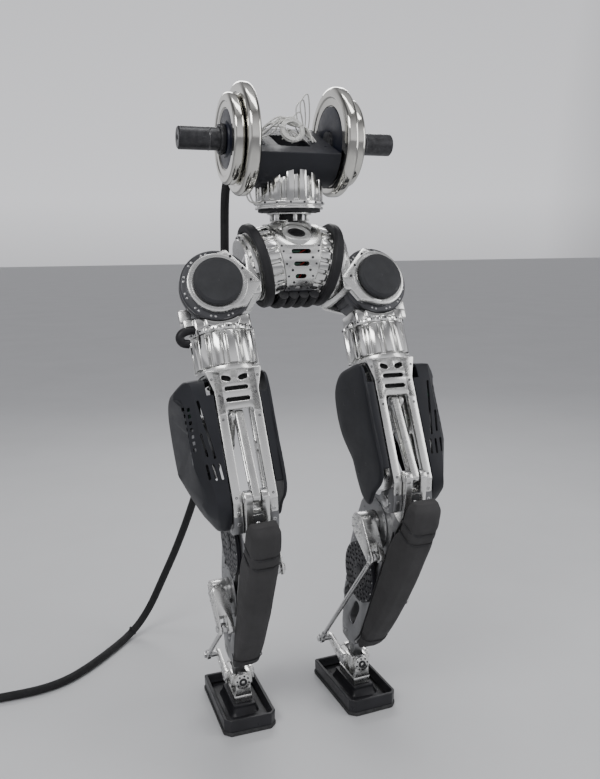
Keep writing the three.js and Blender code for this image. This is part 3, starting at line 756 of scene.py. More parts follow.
def umbilical():
    """From the drum's back down to the floor, away to one side, and one and a half turns to its plug."""
    centre = Vector((-0.800, 0.382))
    outer, inner, rest_z = 0.120, 0.100, 0.0104
    route = [(-0.050, 0.093, 1.262), (-0.051, 0.106, 1.262), (-0.056, 0.126, 1.258), (-0.066, 0.146, 1.246),
             (-0.078, 0.161, 1.226), (-0.088, 0.170, 1.198), (-0.093, 0.174, 1.155), (-0.095, 0.178, 1.060),
             (-0.095, 0.187, 0.960), (-0.098, 0.206, 0.849), (-0.103, 0.238, 0.734), (-0.112, 0.286, 0.614),
             (-0.130, 0.338, 0.493), (-0.156, 0.386, 0.373), (-0.189, 0.424, 0.262), (-0.226, 0.451, 0.165),
             (-0.260, 0.466, 0.087), (-0.293, 0.468, 0.037), (-0.326, 0.450, 0.015)]
    on_floor = [(-0.360, 0.414), (-0.410, 0.359), (-0.455, 0.316), (-0.502, 0.282), (-0.561, 0.262),
                (-0.640, 0.258), (-0.720, 0.261)]
    route += [(x, y, rest_z) for x, y in on_floor]
    turns, steps = 1.5, 48
    for i in range(steps + 1):
        share = i / steps
        angle = -math.pi / 2 - share * turns * 2 * math.pi
        radius = outer + (inner - outer) * min(1, share * turns)
        radius -= 0.024 * max(0, share - 0.72) ** 2 / 0.28 ** 2
        route.append((*polar(radius, angle, *centre), rest_z))
    points = [waist_foot + p for p in curve_points(route, 6)]
    cable = cord_curve("umbilical_cable", points, 0.020, "umbilical_sleeve", "torso")
    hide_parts("umbilical", "umbilical_coil")

    end = points[-1]
    along = (end - points[-3]).normalized()
    profile = fillet([(0, -8, 0), (10.5, -8), (11.5, 0), (12, 12), (15.6, 15), (15.6, 40), (14, 42), (14, 46),
                      (15.6, 48), (15.6, 60), (12.5, 63), (12.5, 56), (0, 56, 0)], 0.8, closed=False, steps=2)
    shell = lathe(profile, "z", 36)
    ridges = spun(lambda: block(-1.2, 1.2, 14.6, 16.2, 17, 39, 0.4, 0.3), 18, "Z")
    pins = [shifted(disc(1.2, 50, 61, "z", 0.4, 10), *polar(7, i * math.pi / 3), 0) for i in range(6)]
    lift = Vector((0, 0, 0.0170 - rest_z)) * 0.9  # the plug is thicker than the cable
    place = towards(end + lift, along) @ Matrix.Scale(MM, 4)
    plug = piece("umbilical_plug", merged(shell, *ridges, *pins), place, "connector_plastic", "torso",
                 ["umbilical_connector"])

    for i, share in enumerate((0.035, 0.10, 0.17, 0.24)):
        index = int(share * len(points))
        along = (points[index + 1] - points[index - 1]).normalized()
        place = towards(points[index], along) @ Matrix.Scale(MM, 4)
        tie = merged(disc(11.6, -2.2, 2.2, "z", 0.6, 28, hole=9.9), block(-3, 3, 10.5, 15.5, -3, 3, 1, 0.5))
        piece(f"umbilical_tie_{i}", tie, place, "cable_sleeve", "torso")

    gland = fillet([(9.9, 0), (19, 0), (19, 6), (15, 8), (13, 20), (11, 34), (9.9, 36)], 1, steps=2)
    place = towards(points[0], (points[3] - points[0]).normalized()) @ Matrix.Scale(MM, 4)
    piece("umbilical_strain_relief", shifted(lathe(gland, "z", 32, closed=True), 0, 0, -1), place,
          "cable_sleeve", "torso")


def deck_matrix():
    """The drum's sloping deck: origin above the drum's axis, +Z square to it."""
    tilt = Matrix.Rotation(math.atan(DECK_RISE), 4, "X")
    return TORSO @ Matrix.Translation((0, 0, DRUM_Z + DECK_LEVEL)) @ tilt


def wire_hank():
    """Thin white wire: a wound ring leaning on the deck, in front of the loose bundle it comes from."""
    deck = deck_matrix()
    lean = deck @ Matrix.Translation((2, -12, 21)) @ Matrix.Rotation(math.radians(50), 4, "X")
    points = []
    turns, steps = 6, 26
    for i in range(turns * steps + 1):
        share = i / (turns * steps)
        angle = -1.2 + 2 * math.pi * turns * share
        layer = 1 if share < 0.5 else 2
        across = (share * 2) % 1
        radius = 17.2 + 7.6 * (across if layer == 1 else 1 - across) + 0.5 * math.sin(3 * angle + 5 * share)
        height = 3.8 * min(1, max(0, (share - 0.46) * 12)) + 0.4 * math.sin(2 * angle + 9 * share)
        points.append(lean @ Vector((*polar(radius, angle), height)))
    wire = cord_curve("deck_wire_hank", points, 0.0036, "wire_white", "torso")
    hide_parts("wire_hank")

    strands = []
    for k in range(9):
        a, b = 0.7 * k, 1.9 * k
        strands.append(strand([
            (-60 + 7 * math.sin(a), 24 - 4 * k, 2.2), (-48 + 2 * k, 30 - 3 * k, 12 + 4 * (k % 4)),
            (-14, 34 - 3 * k, 30 + 8 * math.sin(b)), (16 + 2 * math.cos(a), 30 - 2 * k, 30 + 7 * math.cos(b)),
            (36 + 4 * math.sin(b), 20 - 3 * k, 14 + 5 * (k % 3)),
            (50 + 5 * math.cos(b), 8 - 4 * k, 2.2)], 7, 1.6))
    for k, (reach, x) in enumerate(((86, 36), (74, 28), (50, 24))):
        strands.append(strand([
            (x + 12, 20, 6), (x + 13, 24, 0.5 * reach), (x + 3, 22, reach), (x - 12, 18, 0.8 * reach),
            (x - 5, 14, 0.4 * reach), (x + 6, 12, 5)], 8, 1.4))
    for k in range(3):
        strands.append(strand([(-18 + 6 * k, -16, 4 + 3 * k), (-4, -6 + 3 * k, 22),
                               (14 - 4 * k, -10, 14 - 4 * k), (32, -18 + 3 * k, 2.5)], 6, 1.5))
    bundle = piece("deck_wire_bundle", merged(*strands), deck, "wire_white", "torso")
    for i, angle in enumerate((0.5, 2.9, 4.6)):
        tie = disc(7.2, -1.3, 1.3, "y", 0.5, 20, hole=5.9)
        turned = Matrix.Translation((*polar(21, angle), 1.9)) @ Matrix.Rotation(angle, 4, "Z")
        piece(f"hank_tie_{i}", tie, lean @ turned @ Matrix.Scale(0.72, 4, Z), "wire_white", "torso")


umbilical()
wire_hank()


# ---- Torso: the dumbbell on its drum, and the waist motor ----
def chord_outline(r, front, back):
    """A circle with everything above the line from front to back taken off."""
    a0, a1 = math.atan2(front[1], front[0]), math.atan2(back[1], back[0])
    a0 -= 2 * math.pi if a0 > a1 else 0
    steps = 60
    points = [polar(r, a0 + (a1 - a0) * i / steps) for i in range(steps + 1)]
    points[0], points[-1] = (*points[0], 3), (*points[-1], 3)
    return fillet(points, steps=3)


def make_dumbbell():
    drum = prism(chord_outline(DRUM_R, DECK_FRONT, DECK_BACK), "x", -84, 84, bevel=2.2)
    pocket = block(-34, 34, -44, 30, -32, 60, 7, 0, "z")
    drills = []
    for x, y in ((-66, 40), (66, 40), (-66, -40), (66, -40), (-52, 62), (52, 62), (0, 56), (58, 0), (-58, 0)):
        drills.append(shifted(disc(3.0, -16, 16, "z", 0, 16), x, y, DECK_LEVEL + y * DECK_RISE))
    drum = cut(drum, pocket, *drills, bevel=0.7)
    axis = TORSO @ Matrix.Translation((0, 0, DRUM_Z))
    piece("load_drum_shell", drum, axis, "drum_plastic", "torso", ["load_drum"], sharp=14)
    # The pocket's floor and the parts in it take the near-black: painted shade in the pocket.
    floor_parts = [block(-31, 31, -41, 27, -31.6, -28, 3, 0.8, "z"),
                   block(-24, 4, -38, -12, -28, -20, 2, 1, "z"),
                   block(8, 28, -36, 12, -28, -22, 2, 0.8, "z"), disc(6, -28, -18, "z", 1, 24)]
    piece("drum_pocket_parts", merged(*floor_parts), axis, "painted_shade_black", "torso")

    bar = fillet([(4.5, -217, 0), (4.5, -228, 0), (7, -229, 0), (20, -229), (22.5, -226.5), (22.5, 226.5),
                  (20, 229), (7, 229, 0), (4.5, 228, 0), (4.5, 217, 0)], 0.8, closed=False, steps=2)
    bar = cut(lathe([(0, -217)] + bar + [(0, 217)], "x", 48), block(-83, 83, -30, 30, -30, 30, 2, 0))
    collars = []
    for sign in (-1, 1):
        collars.append(side_disc(sign, 30, 136.3, 147, 2.2, 56, hole=22.6))
        collars.append(lathe([(22.4, sign * 165), (23.1, sign * 166), (23.1, sign * 168), (22.4, sign * 169)],
                             "x", 48, closed=True))
        collars += bolt_circle(3, 26.4, "x", sign * 147, sign, 2.4, 1.2, 0.4)
    piece("dumbbell_bar_turned", merged(bar, *collars), axis, "bar_metal", "torso", ["dumbbell_bar"])

    for sign, side in ((-1, "right"), (1, "left")):
        for name, r, a0, a1 in (("plate_inner", 110, 87, 113), ("plate_outer", 88.5, 113.6, 136)):
            flat = r * 0.80
            dish = r * 0.66
            profile = fillet([(23.6, a0 + 4, 0), (dish, a0 + 4), (dish + 2, a0 + 2), (flat, a0 + 2),
                              (flat + 3, a0, 4), (r, a0, 9), (r, a1, 9), (flat + 3, a1, 4), (flat, a1 - 2),
                              (dish + 2, a1 - 2), (dish, a1 - 5), (23.6, a1 - 5, 0)], 1, steps=5)
            plate = lathe([(u, sign * v) for u, v in profile], "x", 96, closed=True)
            piece(f"{name}_{side}_rim", plate, axis, "plate_chrome", "torso", [f"{name}_{side}"])
            hub = fillet([(23.6, a1 - 5.2), (dish - 1, a1 - 5.2), (dish - 1, a1 - 4), (36, a1 - 4),
                          (34, a1 - 0.6), (23.6, a1 - 0.6)], 1, steps=3)
            hub = lathe([(u, sign * v) for u, v in hub], "x", 72, closed=True)
            inside = fillet([(23.6, a0 + 1.4), (dish - 1, a0 + 1.4), (dish - 1, a0 + 4.4),
                             (23.6, a0 + 4.4)], 0.6)
            inside = lathe([(u, sign * v) for u, v in inside], "x", 72, closed=True)
            piece(f"{name}_{side}_dish", merged(hub, inside), axis, "dish_enamel", "torso")


def make_waist():
    saddle = shifted(disc(DRUM_R + 0.5, -120, 120, "x", 0, 96), 0, 0, DRUM_Z)
    ribs = cut(prism(fluted(WAIST_R, 16, 9, 0.55, 1.6), "z", 1144, 1208, bevel=1.4), saddle, bevel=0.8)
    rings = [disc(WAIST_R - 4, 1147.5, 1151.5, "z", 0.8, 72), disc(WAIST_R + 2, 1140, 1147.6, "z", 1.6, 96),
             disc(WAIST_R - 3, 1136.5, 1140.2, "z", 0.6, 72), disc(WAIST_R + 1, 1132, 1136.6, "z", 1.2, 96)]
    bolts = bolts_on_rim(16, WAIST_R + 2, 1143.8, 2.2, 1.6)
    piece("waist_motor_housing", merged(ribs, *rings), TORSO, "motor_aluminium", "torso", ["waist_motor"])
    piece("waist_motor_screws", merged(*bolts), TORSO, "bar_metal", "torso")
    disc_parts = [disc(65, 1126.2, 1131.4, "z", 1.2, 96)]
    disc_parts += bolt_circle(12, 58, "z", 1126.4, -1, 2.6, 1.2)
    piece("waist_disc_plate", merged(*disc_parts), TORSO, "black_plastic", "pelvis", ["waist_disc"])
    leads = []
    for k, reach in enumerate((92, 97, 88)):
        route = [(-62, -26 + 9 * k, 1206), (-reach + 8, -30 + 6 * k, 1196), (-reach, -26 + 8 * k, 1172),
                 (-reach + 8, -18 + 6 * k, 1148), (-66, -16 + 6 * k, 1142)]
        leads.append(strand(route, 8, 1.7, 10))
    piece("waist_leads", merged(*leads), TORSO, "wire_white", "torso")


# ---- Pelvis ----
def barrel_front(z):
    """The pelvis barrel's front at a height."""
    return -math.sqrt(BARREL_R ** 2 - (z - BARREL_Z) ** 2)


def make_pelvis():
    lean = math.tan(CANT)
    half = lambda z: 37.6 + (z - BARREL_Z) * lean
    low, high = BARREL_Z - BARREL_R - 2, BARREL_Z + BARREL_R + 2
    wedges = []
    for sign in (-1, 1):
        beyond = [(sign * half(low), low), (sign * (half(low) + 90), low), (sign * (half(high) + 90), high),
                  (sign * half(high), high)]
        wedges.append(prism(beyond, "y", -120, 120, bevel=0))
    barrel = shifted(disc(BARREL_R, -88, 88, "x", 0, 96), 0, 0, BARREL_Z)
    slots = [prism(slot_hole(0, 1047 - 25 * i, 21 - 4.5 * i, 4.6), "y", -96, -44, bevel=0) for i in range(4)]
    tilt = Matrix.Translation((0, -43, 1081)) @ Matrix.Rotation(math.radians(30), 4, "X")
    seat = moved(disc(31.5, -34, 30, "z", 0, 72), tilt)
    hollow = shifted(disc(56, -24, 24, "x", 0, 48), 0, 0, BARREL_Z)
    shell = cut(barrel, *wedges, *slots, seat, hollow, bevel=1.1)
    neck = [(0, 1080), (56, 1080), (50, 1094), (44, 1104), (34, 1108), (34, 1110), (0, 1110)]
    boss_room = moved(disc(31.5, -40, 60, "z", 0, 72), tilt)
    neck = cut(lathe(fillet(neck, 3, closed=False, steps=4), "z", 72), boss_room)
    flange = disc(46, 1121.6, 1125.6, "z", 1, 72)
    post_places = [polar(37, math.pi / 6 + i * math.pi / 3) for i in range(6)]
    posts = [shifted(disc(4.6, 1108, 1122, "z", 0.6, 20), *place, 0) for place in post_places]
    piece("pelvis_barrel", merged(shell, neck, flange, *posts), TORSO, "frame_aluminium", "pelvis",
          ["pelvis_frame"])
    # A near-black core between the neck's posts: painted shade.
    piece("pelvis_core", disc(27, 1106, 1123, "z", 1, 48), TORSO, "painted_shade_black", "pelvis")

    boss = fillet([(0, -14, 0), (31.2, -14, 0), (31.2, 3), (29, 5), (19, 5), (18, 2), (18, -9, 0),
                   (0, -9, 0)], 1.4, closed=False, steps=3)
    boss = merged(lathe(boss, "z", 72), *bolt_circle(6, 24, "z", 5, 1, 2.0, 0.4, 0.3))
    piece("pelvis_boss", boss, TORSO @ tilt, "white_boss", "pelvis")
    # The boss's socket is near-black: painted shade.
    plug = fillet([(0, -12, 0), (17.6, -12), (17.6, 4.6), (14, 5), (13, -4), (0, -5, 0)], 0.8, closed=False)
    piece("pelvis_boss_plug", lathe(plug, "z", 48), TORSO @ tilt, "painted_shade_black", "pelvis")

    screws, boards, leads = [], [], []
    for z, xs in ((1034.5, (-24, 24)), (1009.5, (-19, 19)), (984.5, (-13, 13))):
        y = barrel_front(z)
        for x in xs:
            screws.append(bolt((x, y, z), (0, y, z - BARREL_Z), 2.6, 1.2))
    for z in (1058, 1047, 1022, 997, 972):
        y = barrel_front(z)
        for sign in (-1, 1):
            x = sign * (half(z) - 5)
            screws.append(bolt((x, y, z), (0, y, z - BARREL_Z), 2.2, 1.0))
    piece("pelvis_screws", merged(*screws), TORSO, "bar_metal", "pelvis")
    # A near-black disc fills the barrel's hollow behind the slots: painted shade.
    inside = shifted(disc(54, -23, 23, "x", 1, 48), 0, 0, BARREL_Z)
    piece("pelvis_inside", inside, TORSO, "painted_shade_black", "pelvis")
    for i in range(4):
        half_slot, z = 17 - 4 * i, 1047 - 25 * i
        y = -math.sqrt(54 ** 2 - min(53, abs(z - BARREL_Z)) ** 2)
        boards.append(block(-half_slot, half_slot * 0.3, y - 5, y + 3, z - 2.5, z + 1.5, 0.6, 0.4, "y"))
        leads.append(strand([(half_slot * 0.2, y - 3, z - 3), (half_slot * 0.5, y - 7, z),
                             (half_slot * 0.9, y - 4, z + 3)], 5, 1.3))
    piece("pelvis_boards", merged(*boards), TORSO, "circuit_green", "pelvis")
    piece("pelvis_board_leads", merged(*leads), TORSO, "lead_red", "pelvis")
    make_pelvis_cables()


def make_pelvis_cables():
    """Four corrugated cables round the underside of the barrel, held by a cover plate."""
    bundles = []
    for x in (-33, -11, 11, 33):
        angles = [math.radians(229 + 94 * k / 96) for k in range(97)]
        points = [(x, *polar(87.5, angle, 0, BARREL_Z)) for angle in angles]
        bundles.append(swept(points, 10.6, 24, lambda t: 0.96 + 0.04 * math.cos(64 * math.pi * t)))
    piece("pelvis_cables", merged(*bundles), TORSO, "cable_sleeve", "pelvis", ["pelvis_cable_cover"])
    outline = [polar(80.5, math.radians(226 + 30 * k / 12), 0, BARREL_Z) for k in range(13)]
    outline += [polar(75, math.radians(256 - 30 * k / 12), 0, BARREL_Z) for k in range(13)]
    notches = [block(x - 4, x + 4, -90, -60, 940, 964, 3, 0, "y") for x in (-12, 12)]
    plate = cut(prism(outline, "x", -30, 30, bevel=0.8), *notches, bevel=0.5)
    piece("pelvis_cover_plate", plate, TORSO, "dark_anodised", "pelvis")


def make_pitch_motor(side):
    """The hip pitch motor on the pelvis, in the frame of an unbent leg."""
    sign = SIDES[side]
    place = TORSO @ Matrix.Translation((sign * 167, 0, 996)) @ Matrix.Scale(sign, 4, X)
    place = place @ Matrix.Rotation(CANT, 4, "Y")
    ribs = prism(fluted(76, 20, 6, 0.6, 1.4), "x", -130, -106, bevel=1.4)
    rings = [disc(73.5, -132.4, -129.5, "x", 0.8, 96), disc(74, -106.5, -103, "x", 0.8, 96),
             disc(71.5, -103.5, -86.4, "x", 0.8, 96), disc(60, -136, -130, "x", 1, 72)]
    face = disc(64, -88, -84.7, "x", 0.8, 72)
    piece(f"hip_pitch_motor_{side}_housing", merged(ribs, *rings, face), place, "motor_aluminium", "pelvis",
          [f"hip_pitch_motor_{side}"])
    screws = bolt_circle(20, 68.4, "x", -104.6, 1, 2.2, 1.0)
    piece(f"hip_pitch_motor_{side}_screws", merged(*screws), place, "bar_metal", "pelvis")
    guard = fillet([(73, -104), (85, -104), (88, -100), (88, -89), (85, -85), (73, -85)], 2.4, steps=4)
    guard = lathe(guard, "x", 96, closed=True)
    piece(f"guard_ring_{side}_rim", guard, place, "black_plastic", "pelvis", [f"guard_ring_{side}"])


# ---- Hip: the link that pitches, and the motors on it ----
def make_hip(side):
    body, place = f"{side}_hip_body", LEG[side]["hip"]
    tilt = Matrix.Rotation(CANT, 4, "Y")
    flange = moved(disc(70, -84, -73, "x", 1.6, 96), tilt)
    step = moved(disc(62, -74, -66, "x", 1.4, 96), tilt)
    front = fillet([(22, 12, 12), (-21, 36, 8), (-88, -34, 6), (-54, -82, 8), (0, -93, 20)], 4, steps=5)
    front = prism(front, "y", -61.6, -48, [circle(46, 64, 0, ROLL_DROP)], 1.6)
    ring = shifted(disc(60, -62, -48, "y", 1.8, 96, hole=46), 0, 0, ROLL_DROP)
    groove = lathe([(52, -63), (54.5, -63), (54.5, -60.6), (52, -60.6)], "y", 96, closed=True)
    groove = shifted(groove, 0, 0, ROLL_DROP)
    rear = fillet([(0, 17, 20), (-84, 4, 6), (-84, -60, 6), (0, -83, 20)], 4, steps=5)
    rear = prism(rear, "y", 47, 57, [circle(30, 48, 0, ROLL_DROP)], 1.6)
    rear_ring = shifted(disc(50, 47, 57.4, "y", 1.6, 80, hole=30), 0, 0, ROLL_DROP)
    wall = block(-86, -60, -61, 56, -60, 30, 8, 2.5, "y")
    motor_space = shifted(disc(74.9, -47.9, 46.9, "y", 0, 96), 0, 0, ROLL_DROP)
    beyond = moved(disc(120, -150, -84, "x", 0, 48), tilt)
    pocket = block(-92, -70, -30, 30, -44, 4, 6, 0, "x")
    frame_body = merged(front, rear, wall)
    frame_body = cut(frame_body, motor_space, beyond, pocket, bevel=0.9)
    ring = cut(ring, groove)
    screw_places = ((-30, 20), (-52, -6), (-66, -30), (8, 10))
    screws = [bolt((x, -61.6, z), (0, -1, 0), 2.8, 1.4) for x, z in screw_places]
    screws += bolt_circle(12, 40, "y", 57.4, 1, 2.4, 1.4, 0.2, (0, ROLL_DROP))
    flange_screws = [moved(b, tilt) for b in bolt_circle(18, 65, "x", -73, 1, 2.6, 1.6)]
    piece(f"hip_link_{side}_frame", merged(frame_body, flange, step, ring, rear_ring), place,
          "frame_aluminium", body, [f"hip_link_{side}"])
    piece(f"hip_link_{side}_screws", merged(*screws, *flange_screws), place, "bar_metal", body)

    cap = fillet([(0, -74.6, 0), (42, -74.6), (48.6, -71.4), (48.6, -62.5), (0, -62.5, 0)], 2.6, closed=False)
    cap = shifted(lathe(cap, "y", 80), 0, 0, ROLL_DROP)
    tiny = bolt_circle(4, 38, "y", -74.4, -1, 1.6, 0.6, 0.6, (0, ROLL_DROP))
    tiny += bolt_circle(1, 0.01, "y", -74.4, -1, 2.2, 0.6, 0.6, (0, ROLL_DROP))
    piece(f"roll_cap_{side}_grained", merged(cap, *tiny), place, "cap_plastic", body, [f"roll_cap_{side}"])


def make_roll_body(side):
    body, place = f"{side}_roll_body", LEG[side]["roll"]
    ring = fillet([(0, -47.5, 0), (70, -47.5), (73, -44.5), (73, -36), (71, -35), (71, -31), (73, -30),
                   (73, -18), (58, -17.5), (58, 46), (0, 46.4, 0)], 1.2, closed=False, steps=3)
    ribs = spun(lambda: block(57, 61.5, -14, 42, -3, 3, 1.2, 0.8, "x"), 18, "Y")
    rear = disc(44, 45, 47.2, "y", 0.8, 64)
    piece(f"roll_motor_{side}_housing", merged(lathe(ring, "y", 96), rear, *ribs), place,
          "dark_anodised", body, [f"roll_motor_{side}"])
    screws = []
    for i in range(12):
        for shift in (-0.07, 0.07):
            x, z = polar(66, math.radians(15 + 30 * i) + shift)
            screws.append(bolt((x, -47.4, z), (0, -1, 0), 2.1, 1.0))
    piece(f"roll_motor_{side}_screws", merged(*screws), place, "rod_steel", body)

    around = lambda: disc(74.2, -60, 60, "y", 0, 96)
    saddle = cut(block(-36, 36, -44, 34, -86, -46, 6, 2, "z"), around(), bevel=1)
    wings = [cut(block(*sorted((s * 30, s * 58)), -38, 26, -97, -62, 7, 2, "z"), around(), bevel=1)
             for s in (-1, 1)]
    ribs = prism(fluted(66, 14, 8, 0.58, 2), "z", -163.4, -98.5, bevel=1.4)
    bands = [prism(fluted(66.5, 14, 4, 0.58, 2), "z", -97, -85.4, bevel=1.4),
             disc(60, -99.5, -96, "z", 0.6, 96),
             disc(59, -164, -162, "z", 0.6, 96), disc(62, -86.5, -84, "z", 0.8, 96)]
    piece(f"yaw_motor_{side}_housing", merged(ribs, *bands, saddle, *wings), place, "motor_aluminium", body,
          [f"yaw_motor_{side}"])
    screws = bolts_on_rim(14, 66.2, -91, 2.0, 1.2)
    screws += [bolt((x, -44, -82), (0, -1, 0), 2.6, 1.4) for x in (-28, -10, 10, 28)]
    piece(f"yaw_motor_{side}_screws", merged(*screws), place, "bar_metal", body)
    plug_body = merged(block(50, 74, -24, 12, -78, -56, 4, 2, "x"),
                       block(56, 80, -16, 6, -62, -34, 4, 2, "x"))
    piece(f"yaw_plug_{side}_block", plug_body, place, "frame_aluminium", body)
    if side == "right":
        elbow = strand([(58, -30, -82), (70, -34, -84), (82, -34, -88), (87, -32, -97), (82, -30, -106),
                        (70, -28, -109)], 6, 8.6, 20)
        piece("yaw_plug_right_elbow", elbow, place, "cable_sleeve", body)


make_dumbbell()
make_waist()
make_pelvis()
for side_name in SIDES:
    make_pitch_motor(side_name)
    make_hip(side_name)
    make_roll_body(side_name)


# ---- Thigh: frame, covers and knee drive ----
def make_thigh_frame(side):
    body, place = f"{side}_thigh", LEG[side]["thigh"]
    top = -172.4
    face = [(-56, top), (56, top), (54, -182, 4), (44, -216, 8), (44, -262, 2), (26, -262, 1), (26, -252, 7),
            (-26, -252, 7), (-26, -262, 1), (-44, -262, 2), (-44, -216, 8), (-54, -182, 4)]
    holes = [slot_hole(0, -211, 24, 4.2), slot_hole(0, -233, 24, 4.2)]
    holes += [slot_hole(s * 17, -190, 10, 5.6, s * 0.28) for s in (-1, 1)]
    plate = prism(fillet(face, 2), "y", -48, -36, holes, 1.4)
    arch = shifted(disc(34, -52, -45.4, "y", 0, 64), 0, 0, -160)
    plate = cut(plate, arch, bevel=0.5)
    collar = disc(60, -176.4, -164.6, "z", 1.8, 96)
    skirt = lathe(fillet([(50, -176), (58, -176), (52, -196), (46, -196)], 1.5), "z", 72, closed=True)
    skirt = cut(skirt, block(-70, 70, -70, -37, -220, -160, 0, 0, "z"))
    rails = []
    for sign in (-1, 1):
        x0, x1 = sorted((sign * 26, sign * 44))
        outline = fillet([(-48, top), (-4, top), (-4, -424, 6), (12, -446, 6), (8, -458, 4), (-34, -458, 4),
                          (-48, -430, 8)], 3)
        pockets = [slot_hole(-26, z, 40, 8, math.pi / 2) for z in (-280, -372)]
        rails.append(prism(outline, "x", x0, x1, pockets, 2.2))
    # A near-black block behind the face plate's slots: painted shade.
    piece(f"thigh_frame_{side}_inside", block(-36, 36, -35, -30, -247, -178, 3, 1, "y"), place,
          "painted_shade_black", body)
    piece(f"thigh_frame_{side}_rails", merged(plate, collar, skirt, *rails), place, "frame_aluminium",
          body, [f"thigh_frame_{side}"])

    ends, pins, screws = [], [], []
    for sign in (-1, 1):
        x0, x1 = sorted((sign * 25.6, sign * 44.4))
        outline = fillet([(-44, -436), (14, -438), (23.6, -448), (24, -463), (17, -479), (0, -486),
                          (-20, -486), (-32, -468), (-38, -446)], 5, steps=4)
        ends.append(prism(outline, "x", x0, x1, bevel=1.8))
        pins.append(shifted(side_disc(sign, 11, 44, 47.4, 1.2, 40), 0, 0, -THIGH))
        pins.append(shifted(side_disc(sign, 6, 47, 48.6, 0.6, 6), 0, 0, -THIGH))
        pins += bolt_circle(6, 15.5, "x", sign * 44.2, sign, 2.2, 1.4, 0.3, (0, -THIGH))
        for z in (-190, -223, -270, -420):
            screws.append(bolt((sign * 36 if z < -215 else sign * 46, -47.6, z), (0, -1, 0), 2.5, 1.3))
        pins.append(bolt((sign * 35, -37.6, -448), (0, -1, -0.4), 3.6, 2.4))
        pins.append(bolt((sign * 35, -30, -468), (0, -1, -0.6), 3.6, 2.4))
    screws += bolt_circle(16, 54, "z", -164.4, 1, 2.4, 1.2)
    piece(f"thigh_clevis_{side}_ends", merged(*ends), place, "light_anodised", body)
    piece(f"thigh_clevis_{side}_pins", merged(*pins), place, "rod_steel", body)
    piece(f"thigh_frame_{side}_screws", merged(*screws), place, "bar_metal", body)

    motor = fillet([(0, 47.4, 0), (60, 47.4), (60, 58), (57, 60), (57, 84), (60, 86), (60, 92), (52, 99.6),
                    (20, 99.6), (16, 96), (0, 96, 0)], 1.4, closed=False, steps=3)
    motor = merged(lathe(motor, "x", 72), *bolt_circle(12, 40, "x", 99.4, 1, 2.2, 1),
                   *bolt_circle(10, 50, "x", 47.6, -1, 2.6, 1))
    motor = shifted(motor, 0, KNEE_MOTOR.y, KNEE_MOTOR.z)
    piece(f"knee_motor_{side}_housing", motor, place, "light_anodised", body, [f"knee_motor_{side}"])


COVER_OUTLINE = [(-46, -430), (-47, -318), (-46, -206), (-30, -184), (16, -178), (62, -180), (96, -204),
                 (104, -250), (98, -320), (76, -392), (44, -452), (14, -474), (-18, -466)]
COVER_MIDDLE = Vector((28, -300))
VENT_TURN = Matrix.Rotation(math.radians(-48), 4, "Z")


def cover_ring(x, scale, facet):
    """The outer cover's outline at a distance out, shrunk about its middle and thinner towards the knee."""
    ring = []
    for p in smooth_loop(COVER_OUTLINE, 7):
        q = (p - COVER_MIDDLE) * scale + COVER_MIDDLE
        taper = 1 + min(0, (q.y + 350) * 0.0045)
        out = 46 + (x - 46) * taper
        ring.append((min(out, 46 + (facet + (q.x + 46) * 0.9) * taper), q.x, q.y))
    return ring


